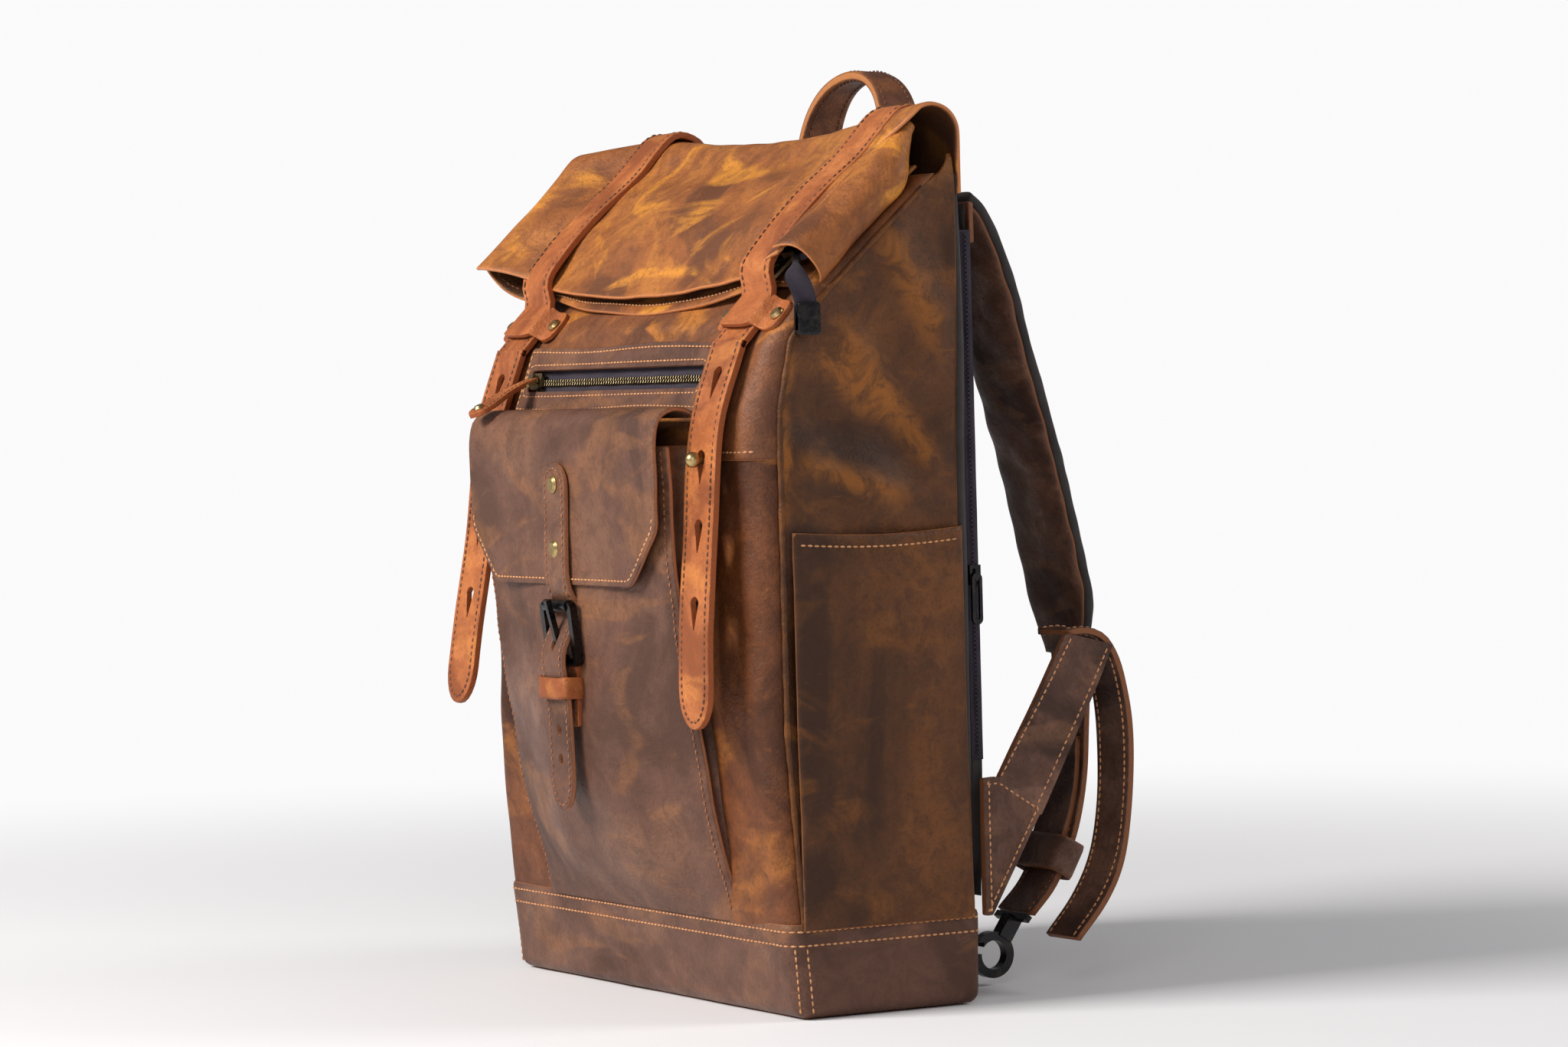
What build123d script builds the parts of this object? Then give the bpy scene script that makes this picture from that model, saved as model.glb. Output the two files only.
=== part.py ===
"""A roll-top leather backpack, built as separate pieces.

Millimetres. +X is to the right seen from the front, -Y is the front, +Z is up.
The origin is at the middle of the bag's underside, on the surface that it stands on.
"""
from build123d import *
from math import hypot
import os

os.makedirs("parts", exist_ok=True)

# Driving dimensions
WIDTH = 310.0  # across the ridge of the roll-top
BASE_DEPTH = 101.0
BAND_HEIGHT = 46.0
FRONT_SEAM = 278.0  # height of the seam across the front
LEATHER = 2.4
STRAP_LEATHER = 3.5
CLOSURE_STRAP_WIDTH = 30.0
CLOSURE_STRAP_X = 120.0  # from the middle of the bag to the middle of each closure strap
TONGUE_WIDTH = 24.0
ZIP_LENGTH = 186.0
SIDES = (("left", -1), ("right", 1))

HALF_WIDTH = WIDTH / 2

# The bag's body, from the bottom up: height, front Y, back Y, half width, radius of the front corners
BODY_SECTIONS = [
    (0, -BASE_DEPTH / 2, BASE_DEPTH / 2, HALF_WIDTH - 2, 5),
    (BAND_HEIGHT, -57, 52, HALF_WIDTH - 2, 8),
    (140, -68, 54, HALF_WIDTH - 5, 14),
    (285, -73, 54, HALF_WIDTH - 5, 19),
    (300, -71, 54, HALF_WIDTH - 4, 17),
    (335, -58, 54, HALF_WIDTH - 2, 10),
    (356, -38, 53, HALF_WIDTH - 1, 8),
    (416, 31, 51, HALF_WIDTH, 5),
]
BODY_TOP = BODY_SECTIONS[-1][0]
BACK_CORNER_RADIUS = 4.0

# The seam between the front panels and the side gussets, as (Y, Z)
FRONT_CORNER_SEAM = [(-49, BAND_HEIGHT), (-54, 140), (-54, 300), (-48, 335), (-30, 356), (36, BODY_TOP)]
BACK_SEAM_Y = 48.0


def body_loft(inset):
    """The bag's outer shape, taken in by an inset on every side wall."""
    with BuildPart() as body:
        for height, front, back, half_width, radius in BODY_SECTIONS:
            with BuildSketch(Plane.XY.offset(height)) as section:
                with Locations((0, (front + back) / 2)):
                    Rectangle(2 * (half_width - inset), back - front - 2 * inset)
                fillet(section.vertices().group_by(Axis.Y)[0], radius - inset)
                fillet(section.vertices().group_by(Axis.Y)[-1], BACK_CORNER_RADIUS - inset)
        loft(ruled=True)
    return body.part


def strip_outline(path, thickness):
    """The closed outline of a strip of even thickness along a path, mitred at the path's corners."""
    half = thickness / 2
    normals = []
    for (x0, y0), (x1, y1) in zip(path, path[1:]):
        length = hypot(x1 - x0, y1 - y0)
        normals.append(((y0 - y1) / length, (x1 - x0) / length))
    near, far = [], []
    for place, (x, y) in enumerate(path):
        ax, ay = normals[max(place - 1, 0)]
        bx, by = normals[min(place, len(normals) - 1)]
        scale = half / (1 + ax * bx + ay * by)
        near.append((x + (ax + bx) * scale, y + (ay + by) * scale))
        far.append((x - (ax + bx) * scale, y - (ay + by) * scale))
    return near + far[::-1]


def side_face(points, x=0.0):
    """A face with the given (Y, Z) corners, in the upright plane at X."""
    with BuildSketch(Plane.YZ.offset(x)) as face:
        with BuildLine():
            Polyline(*points, close=True)
        make_face()
    return face.sketch


def strip_face(path, thickness, x=0.0):
    """A strip that follows (Y, Z) points, seen from the side, in the upright plane at X."""
    return side_face(strip_outline(path, thickness), x)


def span(a, b):
    """The lower end and the length of the stretch between two values."""
    return min(a, b), abs(b - a)


def finish(part, name):
    """Label a finished piece and write it out."""
    part.label = name
    export_step(part, f"parts/{name}.step")


OUTER_BODY = body_loft(0)
INNER_BODY = body_loft(LEATHER)

with BuildPart() as body_shell:
    add(OUTER_BODY)
    add(INNER_BODY, mode=Mode.SUBTRACT)

FRONT_REGION = [(-200, BAND_HEIGHT), *FRONT_CORNER_SEAM, (36, 500), (-200, 500)]
BACK_REGION = [(BACK_SEAM_Y, BAND_HEIGHT), (BACK_SEAM_Y, BODY_TOP), (200, BODY_TOP), (200, BAND_HEIGHT)]

# ---------------------------------------------------------------- base

with BuildPart() as bottom_panel:
    add(INNER_BODY)
    with Locations((0, 0, LEATHER / 2)):
        Box(400, 400, LEATHER, mode=Mode.INTERSECT)
finish(bottom_panel.part, "bottom_panel")

BOARD_THICKNESS = 2.0
with BuildPart() as base_board:
    with BuildSketch(Plane.XY.offset(LEATHER + 0.2)):
        RectangleRounded(2 * HALF_WIDTH - 16, BASE_DEPTH - 16, 8)
    extrude(amount=BOARD_THICKNESS)
finish(base_board.part, "base_board")

with BuildPart() as base_band:
    add(body_shell.part)
    with Locations((0, 0, BAND_HEIGHT / 2)):
        Box(400, 400, BAND_HEIGHT, mode=Mode.INTERSECT)
finish(base_band.part, "base_band")

# ---------------------------------------------------------------- walls

# Upright plane of the front zip: it follows the upper front between the heights 300 and 335
ZIP_LOW = (-71.0, 300.0)
ZIP_HIGH = (-58.0, 335.0)
ZIP_MIDDLE = ((ZIP_LOW[0] + ZIP_HIGH[0]) / 2, (ZIP_LOW[1] + ZIP_HIGH[1]) / 2)
ZIP_RISE = (ZIP_HIGH[0] - ZIP_LOW[0], ZIP_HIGH[1] - ZIP_LOW[1])
ZIP_PLANE = Plane(
    origin=(0, ZIP_MIDDLE[0], ZIP_MIDDLE[1]),
    x_dir=(1, 0, 0),
    z_dir=(0, -ZIP_RISE[1], ZIP_RISE[0]),
)
ZIP_SLOT = 12.0

with BuildPart() as front_panel_lower:
    add(body_shell.part)
    extrude(side_face(FRONT_REGION), amount=200, both=True, mode=Mode.INTERSECT)
    with Locations((0, 0, (BAND_HEIGHT + FRONT_SEAM) / 2)):
        Box(400, 400, FRONT_SEAM - BAND_HEIGHT, mode=Mode.INTERSECT)
finish(front_panel_lower.part, "front_panel_lower")

with BuildPart() as front_panel_upper:
    add(body_shell.part)
    extrude(side_face(FRONT_REGION), amount=200, both=True, mode=Mode.INTERSECT)
    with Locations((0, 0, (FRONT_SEAM + BODY_TOP) / 2)):
        Box(400, 400, BODY_TOP - FRONT_SEAM, mode=Mode.INTERSECT)
    with BuildSketch(ZIP_PLANE):
        RectangleRounded(ZIP_LENGTH + 4, ZIP_SLOT, 2)
    extrude(amount=6, both=True, mode=Mode.SUBTRACT)
finish(front_panel_upper.part, "front_panel_upper")

for side, sign in SIDES:
    with BuildPart() as side_gusset:
        add(body_shell.part)
        extrude(side_face(FRONT_REGION), amount=200, both=True, mode=Mode.SUBTRACT)
        extrude(side_face(BACK_REGION), amount=200, both=True, mode=Mode.SUBTRACT)
        with Locations((sign * 100, 0, (BAND_HEIGHT + BODY_TOP) / 2)):
            Box(200, 400, BODY_TOP - BAND_HEIGHT, mode=Mode.INTERSECT)
    finish(side_gusset.part, f"side_gusset_{side}")

with BuildPart() as back_panel:
    add(body_shell.part)
    extrude(side_face(BACK_REGION), amount=200, both=True, mode=Mode.INTERSECT)
finish(back_panel.part, "back_panel")

LINING_GAP = 0.3
LINING = 0.8
with BuildPart() as lining:
    add(body_loft(LEATHER + LINING_GAP))
    add(body_loft(LEATHER + LINING_GAP + LINING), mode=Mode.SUBTRACT)
    with Locations((0, 0, BODY_TOP / 2 + 20)):
        Box(400, 400, BODY_TOP - 60, mode=Mode.INTERSECT)
    with BuildSketch(ZIP_PLANE):
        RectangleRounded(ZIP_LENGTH + 14, ZIP_SLOT + 16, 2)
    extrude(amount=12, both=True, mode=Mode.SUBTRACT)
finish(lining.part, "lining")

# ---------------------------------------------------------------- side pockets

SIDE_POCKET_TOP = 240.0
SIDE_POCKET_OUT = HALF_WIDTH + 2.5
for side, sign in SIDES:
    with BuildPart() as side_pocket:
        low, length = span(sign * 140, sign * SIDE_POCKET_OUT)
        with Locations((low + length / 2, 0, (BAND_HEIGHT + SIDE_POCKET_TOP) / 2)):
            Box(length, 99, SIDE_POCKET_TOP - BAND_HEIGHT)
        fillet(side_pocket.edges().filter_by(Axis.Z).group_by(Axis.X)[-1 if sign > 0 else 0], 3)
        low, length = span(sign * 139, sign * (SIDE_POCKET_OUT - LEATHER))
        with Locations((low + length / 2, 0, (BAND_HEIGHT + SIDE_POCKET_TOP) / 2 + LEATHER)):
            Box(length, 99 - 2 * LEATHER, SIDE_POCKET_TOP - BAND_HEIGHT, mode=Mode.SUBTRACT)
        add(OUTER_BODY, mode=Mode.SUBTRACT)
    finish(side_pocket.part, f"side_pocket_{side}")

# ---------------------------------------------------------------- back: laptop pocket, pad, yoke

BACK_HALF_WIDTH = 146.0
BACK_LOW = 50.0
BACK_HIGH = 404.0
BACK_WALL_Y = 54.3  # just behind the back panel
PAD_Y = 62.0
PAD_THICKNESS = 10.0
BACK_FACE_Y = PAD_Y + PAD_THICKNESS
BACK_ZIP_LOW = 122.0
BACK_ZIP_HIGH = 388.0
BACK_ZIP_Y = (BACK_WALL_Y + PAD_Y) / 2
BACK_HEIGHT = BACK_HIGH - BACK_LOW
BACK_MIDDLE_Z = (BACK_LOW + BACK_HIGH) / 2

with BuildPart() as laptop_gusset:
    with BuildSketch(Plane.XZ.offset(-PAD_Y)):
        with Locations((0, BACK_MIDDLE_Z)):
            RectangleRounded(2 * BACK_HALF_WIDTH, BACK_HEIGHT, 18)
            RectangleRounded(2 * (BACK_HALF_WIDTH - LEATHER), BACK_HEIGHT - 2 * LEATHER, 16, mode=Mode.SUBTRACT)
    extrude(amount=PAD_Y - BACK_WALL_Y)
    with Locations((BACK_HALF_WIDTH, BACK_ZIP_Y, (BACK_ZIP_LOW + BACK_ZIP_HIGH) / 2)):
        Box(20, 20, BACK_ZIP_HIGH - BACK_ZIP_LOW, mode=Mode.SUBTRACT)
finish(laptop_gusset.part, "laptop_gusset")

with BuildPart() as back_pad:
    with BuildSketch(Plane.XZ.offset(-BACK_FACE_Y)):
        with Locations((0, BACK_MIDDLE_Z)):
            RectangleRounded(2 * BACK_HALF_WIDTH, BACK_HEIGHT, 18)
    extrude(amount=PAD_THICKNESS - 0.2)
    fillet(back_pad.faces().sort_by(Axis.Y)[-1].edges(), 4)
finish(back_pad.part, "back_pad")

with BuildPart() as back_zip_tape:
    with Locations((BACK_HALF_WIDTH - 1.6, BACK_ZIP_Y, (BACK_ZIP_LOW + BACK_ZIP_HIGH) / 2)):
        Box(1.0, PAD_Y - BACK_WALL_Y, BACK_ZIP_HIGH - BACK_ZIP_LOW - 0.4)
    with Locations((BACK_HALF_WIDTH - 0.4, BACK_ZIP_Y, (BACK_ZIP_LOW + BACK_ZIP_HIGH) / 2)):
        Box(1.4, 4.4, BACK_ZIP_HIGH - BACK_ZIP_LOW - 6)
finish(back_zip_tape.part, "back_zip_tape")

BACK_SLIDER_Z = 215.0
SLIDER_LENGTH = 10.0
with BuildPart() as back_zip_slider:
    with Locations((BACK_HALF_WIDTH + 1.6, BACK_ZIP_Y, BACK_SLIDER_Z)):
        Box(1.8, 6.4, SLIDER_LENGTH)
    with Locations((BACK_HALF_WIDTH + 3.0, BACK_ZIP_Y, BACK_SLIDER_Z)):
        Box(2.0, 1.6, 6)
    with BuildSketch(Plane.YZ.offset(BACK_HALF_WIDTH + 2.6)):
        with Locations((BACK_ZIP_Y, BACK_SLIDER_Z - 12)):
            SlotOverall(26, 6.0, rotation=90)
            SlotOverall(21, 2.6, rotation=90, mode=Mode.SUBTRACT)
    extrude(amount=1.5)
finish(back_zip_slider.part, "back_zip_slider")

YOKE_LOW = 382.0
YOKE_HIGH = 403.0
YOKE_THICKNESS = 3.0
HANDLE_X = 42.0
HANDLE_WIDTH = 24.0
HANDLE_FOOT_Y = BACK_FACE_Y + YOKE_THICKNESS
HANDLE_PIVOT = (HANDLE_FOOT_Y + 1.0, 414.0)
with BuildPart() as strap_yoke:
    with BuildSketch(Plane.XZ.offset(-(BACK_FACE_Y + YOKE_THICKNESS))):
        with Locations((0, (YOKE_LOW + YOKE_HIGH) / 2)):
            RectangleRounded(256, YOKE_HIGH - YOKE_LOW, 5)
        with Locations((-HANDLE_X, 400), (HANDLE_X, 400)):
            RectangleRounded(22, 26, 3)
    extrude(amount=YOKE_THICKNESS - 0.2)
finish(strap_yoke.part, "strap_yoke")

# ---------------------------------------------------------------- grab handle

HANDLE_THICKNESS = 4.0
HANDLE_RISE = 60.0
HANDLE_LEAN = (0, 6, 60)  # the arch leans back a little as it rises
HANDLE_PLANE = Plane(
    origin=(0, HANDLE_PIVOT[0] + HANDLE_WIDTH / 2, HANDLE_PIVOT[1] + 1),
    x_dir=(1, 0, 0),
    z_dir=(0, -HANDLE_LEAN[2], HANDLE_LEAN[1]),
)
with BuildPart() as grab_handle:
    with BuildSketch(HANDLE_PLANE):
        with BuildLine():
            outer = HANDLE_X + HANDLE_THICKNESS / 2
            inner = HANDLE_X - HANDLE_THICKNESS / 2
            shoulder = HANDLE_RISE * 0.3
            low_left = Line((-inner, 0), (-outer, 0))
            rise = Line(low_left @ 1, (-outer, shoulder))
            arch = ThreePointArc(rise @ 1, (0, HANDLE_RISE), (outer, shoulder))
            fall = Line(arch @ 1, (outer, 0))
            low_right = Line(fall @ 1, (inner, 0))
            inner_rise = Line(low_right @ 1, (inner, shoulder))
            inner_arch = ThreePointArc(inner_rise @ 1, (0, HANDLE_RISE - HANDLE_THICKNESS), (-inner, shoulder))
            Line(inner_arch @ 1, (-inner, 0))
        make_face()
    extrude(amount=HANDLE_WIDTH / 2 - 0.5, both=True)
    fillet(grab_handle.edges().filter_by(GeomType.CIRCLE).group_by(Axis.Y)[-1], 1.2)
finish(grab_handle.part, "grab_handle")

# ---------------------------------------------------------------- front pocket

POCKET_HALF_WIDTH = 103.0
POCKET_TOP = 284.0
POCKET_PROFILE = [(-59.5, BAND_HEIGHT + 1), (-79, 74), (-91, 125), (-93.5, POCKET_TOP)]
POCKET_PROFILE_MIDDLE = [(y + LEATHER / 2, z) for y, z in POCKET_PROFILE]
with BuildPart() as front_pocket_panel:
    extrude(strip_face(POCKET_PROFILE_MIDDLE, LEATHER), amount=POCKET_HALF_WIDTH, both=True)
    add(OUTER_BODY, mode=Mode.SUBTRACT)
finish(front_pocket_panel.part, "front_pocket_panel")

with BuildPart() as front_pocket_gusset:
    inside = [(y + LEATHER, z) for y, z in POCKET_PROFILE]
    low = BAND_HEIGHT + 6
    extrude(side_face([(-50, low), *inside[1:], (-50, POCKET_TOP)]), amount=POCKET_HALF_WIDTH - 0.3, both=True)
    with Locations((0, -70, low + LEATHER + 200)):
        Box(2 * (POCKET_HALF_WIDTH - 0.3 - LEATHER), 100, 400, mode=Mode.SUBTRACT)
    add(OUTER_BODY, mode=Mode.SUBTRACT)
    add(front_pocket_panel.part, mode=Mode.SUBTRACT)
finish(front_pocket_gusset.part, "front_pocket_gusset")

# ---------------------------------------------------------------- front pocket flap and its tongue

FLAP_HALF_WIDTH = 103.0
FLAP_LOW_HALF_WIDTH = 75.0
FLAP_CORNER_Z = 243.0
FLAP_LOW = 214.0
FLAP_FACE_Y = -98.0  # middle of the hanging leather
FLAP_PROFILE = [(-74.5, 298), (-80, 301), (-90, 300.5), (-96, 295), (FLAP_FACE_Y, 285), (FLAP_FACE_Y, FLAP_LOW)]
with BuildPart() as pocket_flap:
    extrude(strip_face(FLAP_PROFILE, LEATHER), amount=FLAP_HALF_WIDTH, both=True)
    with BuildSketch(Plane.XZ):
        with BuildLine():
            Polyline(
                (-FLAP_HALF_WIDTH, 320),
                (FLAP_HALF_WIDTH, 320),
                (FLAP_HALF_WIDTH, FLAP_CORNER_Z),
                (FLAP_LOW_HALF_WIDTH, FLAP_LOW),
                (-FLAP_LOW_HALF_WIDTH, FLAP_LOW),
                (-FLAP_HALF_WIDTH, FLAP_CORNER_Z),
                close=True,
            )
        make_face()
    extrude(amount=200, both=True, mode=Mode.INTERSECT)
finish(pocket_flap.part, "pocket_flap")

# The tongue lies on the flap, dips behind the roller, comes out over the lower bar and hangs free
TONGUE_THICKNESS = 2.6
TONGUE_TOP = 275.0
TONGUE_TIP = 98.0
BUCKLE_BAR = (-98.2, 174.0)
BUCKLE_TOP = (-101.5, 203.0)
TONGUE_PATH = [
    (-100.9, TONGUE_TOP),
    (-100.9, FLAP_LOW - 0.5),
    (-95.7, 205),
    (-95.7, 200),
    (-104.6, 180),
    (-104.6, 172),
    (-101.2, 158),
    (-99.8, TONGUE_TIP),
]
TONGUE_HOLES_Z = (124, 139)
BUCKLED_HOLE_Z = 185.0
with BuildPart() as flap_tongue:
    extrude(strip_face(TONGUE_PATH, TONGUE_THICKNESS), amount=TONGUE_WIDTH / 2, both=True)
    fillet(flap_tongue.edges().filter_by(Axis.Y, tolerance=8).group_by(Axis.Z)[0], 9)
    with Locations(*[Location((0, -100, z), (90, 0, 0)) for z in TONGUE_HOLES_Z]):
        Cylinder(2.3, 30, mode=Mode.SUBTRACT)
    with BuildSketch(Plane.XZ.offset(80)):
        with Locations((0, BUCKLED_HOLE_Z)):
            SlotOverall(12, 4.6, rotation=90)
    extrude(amount=40, mode=Mode.SUBTRACT)
finish(flap_tongue.part, "flap_tongue")


def dome_rivet(radius, rise):
    """A rivet cap with a rounded top: its flat face is at the origin and it rises along +Z."""
    with BuildPart() as rivet:
        Cylinder(radius, rise * 0.4, align=(Align.CENTER, Align.CENTER, Align.MIN))
        with BuildSketch(Plane.XY.offset(rise * 0.4)):
            Circle(radius * 0.96)
        extrude(amount=rise * 0.6, taper=42)
    return rivet.part


FLAP_RIVETS_Z = (232, 265)
RIVET_RADIUS = 4.6
with BuildPart() as flap_rivets:
    for z in FLAP_RIVETS_Z:
        face_y = TONGUE_PATH[0][0] - TONGUE_THICKNESS / 2
        add(Location((0, face_y, z), (90, 0, 0)) * dome_rivet(RIVET_RADIUS, 2.2))
finish(flap_rivets.part, "flap_rivets")

# ---------------------------------------------------------------- roller buckle

BUCKLE_INSIDE = 26.0
BUCKLE_WIRE = 4.0
BUCKLE_RISE = (BUCKLE_TOP[0] - BUCKLE_BAR[0], BUCKLE_TOP[1] - BUCKLE_BAR[1])
BUCKLE_HEIGHT = hypot(*BUCKLE_RISE)
BUCKLE_PLANE = Plane(
    origin=(0, BUCKLE_BAR[0], BUCKLE_BAR[1]),
    x_dir=(1, 0, 0),
    z_dir=(0, -BUCKLE_RISE[1], BUCKLE_RISE[0]),
)
BAR_RADIUS = 2.0
with BuildPart() as buckle_frame:
    with BuildSketch(BUCKLE_PLANE):
        with Locations((0, BUCKLE_HEIGHT / 2)):
            RectangleRounded(BUCKLE_INSIDE + 2 * BUCKLE_WIRE, BUCKLE_HEIGHT + BUCKLE_WIRE, 4)
            Rectangle(BUCKLE_INSIDE, BUCKLE_HEIGHT + 2 * BUCKLE_WIRE, mode=Mode.SUBTRACT)
    extrude(amount=BUCKLE_WIRE / 2, both=True)
    for bar_y, bar_z in (BUCKLE_BAR, BUCKLE_TOP):
        with Locations(Location((0, bar_y, bar_z), (0, 90, 0))):
            Cylinder(BAR_RADIUS, BUCKLE_INSIDE + 2)
finish(buckle_frame.part, "buckle_frame")

with BuildPart() as buckle_roller:
    with Locations(Location((0, *BUCKLE_TOP), (0, 90, 0))):
        Cylinder(3.2, BUCKLE_INSIDE - 1)
        Cylinder(BAR_RADIUS + 0.08, BUCKLE_INSIDE + 2, mode=Mode.SUBTRACT)
finish(buckle_roller.part, "buckle_roller")

PRONG_RADIUS = 1.5
PRONG_EYE = 3.6
with BuildPart() as buckle_prong:
    with Locations(Location((0, *BUCKLE_BAR), (0, 90, 0))):
        Cylinder(PRONG_EYE, 3.2)
    prong_tip = (BUCKLE_TOP[0] - 6.2, BUCKLE_TOP[1] + 3)
    prong_path = [(BUCKLE_BAR[0] - 1.6, BUCKLE_BAR[1] + 2), prong_tip]
    extrude(strip_face(prong_path, 2 * PRONG_RADIUS), amount=1.5, both=True)
    with Locations(Location((0, *BUCKLE_BAR), (0, 90, 0))):
        Cylinder(BAR_RADIUS + 0.08, 10, mode=Mode.SUBTRACT)
finish(buckle_prong.part, "buckle_prong")

CHAPE_END = 140.0
CHAPE_FACE = (-93.9, -98.3)
CHAPE_EYE = 4.2
with BuildPart() as buckle_chape:
    with Locations((0, (CHAPE_FACE[0] + CHAPE_FACE[1]) / 2, (CHAPE_END + BUCKLE_BAR[1]) / 2)):
        Box(TONGUE_WIDTH, CHAPE_FACE[0] - CHAPE_FACE[1], BUCKLE_BAR[1] - CHAPE_END)
    with Locations(Location((0, *BUCKLE_BAR), (0, 90, 0))):
        Cylinder(CHAPE_EYE, TONGUE_WIDTH)
        Cylinder(BAR_RADIUS + 0.1, 60, mode=Mode.SUBTRACT)
    with Locations((0, BUCKLE_BAR[0], BUCKLE_BAR[1] + 2)):
        Box(5, 20, 16, mode=Mode.SUBTRACT)
finish(buckle_chape.part, "buckle_chape")

LOOP_LOW = 156.0
LOOP_HIGH = 166.0
with BuildPart() as buckle_keeper:
    with Locations((0, -100.8, (LOOP_LOW + LOOP_HIGH) / 2)):
        Box(TONGUE_WIDTH + 6, 14, LOOP_HIGH - LOOP_LOW)
        fillet(buckle_keeper.edges().filter_by(Axis.Z).group_by(Axis.Y)[0], 2)
    with Locations((0, -99.2, (LOOP_LOW + LOOP_HIGH) / 2)):
        Box(TONGUE_WIDTH + 1.4, 12.6, 40, mode=Mode.SUBTRACT)
finish(buckle_keeper.part, "buckle_keeper")

# ---------------------------------------------------------------- front zip

FACING_HALF_WIDTH = 102.0
with BuildPart() as front_zip_facing:
    with BuildSketch(ZIP_PLANE.offset(0.1)):
        RectangleRounded(2 * FACING_HALF_WIDTH, 37, 4)
        RectangleRounded(ZIP_LENGTH + 4, ZIP_SLOT, 2, mode=Mode.SUBTRACT)
    extrude(amount=1.8)
finish(front_zip_facing.part, "front_zip_facing")

with BuildPart() as front_zip_tape:
    with BuildSketch(ZIP_PLANE.offset(-LEATHER - 1.0)):
        Rectangle(ZIP_LENGTH + 10, ZIP_SLOT + 10)
    extrude(amount=0.8)
finish(front_zip_tape.part, "front_zip_tape")

with BuildPart() as front_zip_teeth:
    with BuildSketch(ZIP_PLANE.offset(-LEATHER - 0.2)):
        RectangleRounded(ZIP_LENGTH, 5.8, 1)
    extrude(amount=2.2)
finish(front_zip_teeth.part, "front_zip_teeth")

BAG_LOW = 190.0
BAG_BACK_Y = -48.0
with BuildPart() as zip_pocket_bag:
    outline = [(-63.6, BAG_LOW), (-63.6, 296), (-56, 330), (BAG_BACK_Y, 330), (BAG_BACK_Y, BAG_LOW)]
    hollow = [(-62.6, BAG_LOW + 1), (-62.6, 296), (-55, 329), (BAG_BACK_Y - 1, 329), (BAG_BACK_Y - 1, BAG_LOW + 1)]
    extrude(side_face(outline), amount=ZIP_LENGTH / 2 + 8, both=True)
    extrude(side_face(hollow), amount=ZIP_LENGTH / 2 + 7, both=True, mode=Mode.SUBTRACT)
    with BuildSketch(ZIP_PLANE):
        Rectangle(ZIP_LENGTH, ZIP_SLOT)
    extrude(amount=-12, mode=Mode.SUBTRACT)
    with BuildSketch(ZIP_PLANE.offset(-LEATHER - 1.2)):
        Rectangle(400, 80)
    extrude(amount=40, mode=Mode.SUBTRACT)
finish(zip_pocket_bag.part, "zip_pocket_bag")

SLIDER_X = -ZIP_LENGTH / 2 + SLIDER_LENGTH / 2 + 1
with BuildPart() as front_zip_slider:
    with BuildSketch(ZIP_PLANE.offset(0.3)):
        with Locations((SLIDER_X, 0)):
            RectangleRounded(SLIDER_LENGTH, 9, 2)
    extrude(amount=1.7)
    with BuildSketch(ZIP_PLANE.offset(-1.6)):
        with Locations((SLIDER_X, 3.9), (SLIDER_X, -3.9)):
            Rectangle(SLIDER_LENGTH - 3, 1.0)
    extrude(amount=2.0)
    with BuildSketch(ZIP_PLANE.offset(1.9)):
        with Locations((SLIDER_X, 2.0), (SLIDER_X, -2.0)):
            Rectangle(5, 1.2)
    extrude(amount=3.8)
    with BuildSketch(ZIP_PLANE.offset(4.9)):
        with Locations((SLIDER_X, 0)):
            Rectangle(5, 5.2)
    extrude(amount=1.0)
finish(front_zip_slider.part, "front_zip_slider")

PULL_START = (-67.05, 319.0)
PULL_END = (-106.0, 300.5)
PULL_WIDTH = 12.0
PULL_RUN = (PULL_END[0] - PULL_START[0], PULL_END[1] - PULL_START[1])
PULL_LENGTH = hypot(*PULL_RUN)
PULL_PLANE = Plane(
    origin=(SLIDER_X, *PULL_START),
    x_dir=(1, 0, 0),
    z_dir=(0, PULL_RUN[1], -PULL_RUN[0]),
)
RING_OUT = 8.5
with BuildPart() as front_zip_pull:
    with BuildSketch(PULL_PLANE.offset(-1.4)):
        with Locations((0, -(PULL_LENGTH + RING_OUT) / 2)):
            SlotOverall(PULL_LENGTH - RING_OUT, PULL_WIDTH, rotation=90)
    extrude(amount=2.8)
finish(front_zip_pull.part, "front_zip_pull")

with BuildPart() as front_zip_pull_ring:
    with BuildSketch(PULL_PLANE.offset(-0.8)):
        with Locations((0, -RING_OUT / 2 + 0.2)):
            RectangleRounded(9.4, RING_OUT - 0.4, 2)
            RectangleRounded(6.4, RING_OUT - 3.4, 1, mode=Mode.SUBTRACT)
    extrude(amount=1.6)
    rivet_place = PULL_PLANE * Location((0, -PULL_LENGTH + 7, 1.4))
    add(rivet_place * dome_rivet(3.2, 1.8))
finish(front_zip_pull_ring.part, "front_zip_pull_ring")

# ---------------------------------------------------------------- roll-top sleeve, folded forward

RIDGE = (36.0, 436.0)  # the line that the sleeve folds about
HEM_MIDDLE = (-40.0, 370.0)
ROLL_LENGTH = hypot(HEM_MIDDLE[0] - RIDGE[0], HEM_MIDDLE[1] - RIDGE[1])
ROLL_DOWN = ((HEM_MIDDLE[0] - RIDGE[0]) / ROLL_LENGTH, (HEM_MIDDLE[1] - RIDGE[1]) / ROLL_LENGTH)
ROLL_OUT = (ROLL_DOWN[1], -ROLL_DOWN[0])
ROLL_START = 14.0
ROLL_HALF = 9.0  # half the sleeve's thickness


def roll_point(along, out):
    """A point of the folded sleeve as (Y, Z): along it from the ridge, and out from its middle."""
    y = RIDGE[0] + along * ROLL_DOWN[0] + out * ROLL_OUT[0]
    z = RIDGE[1] + along * ROLL_DOWN[1] + out * ROLL_OUT[1]
    return (y, z)


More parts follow.
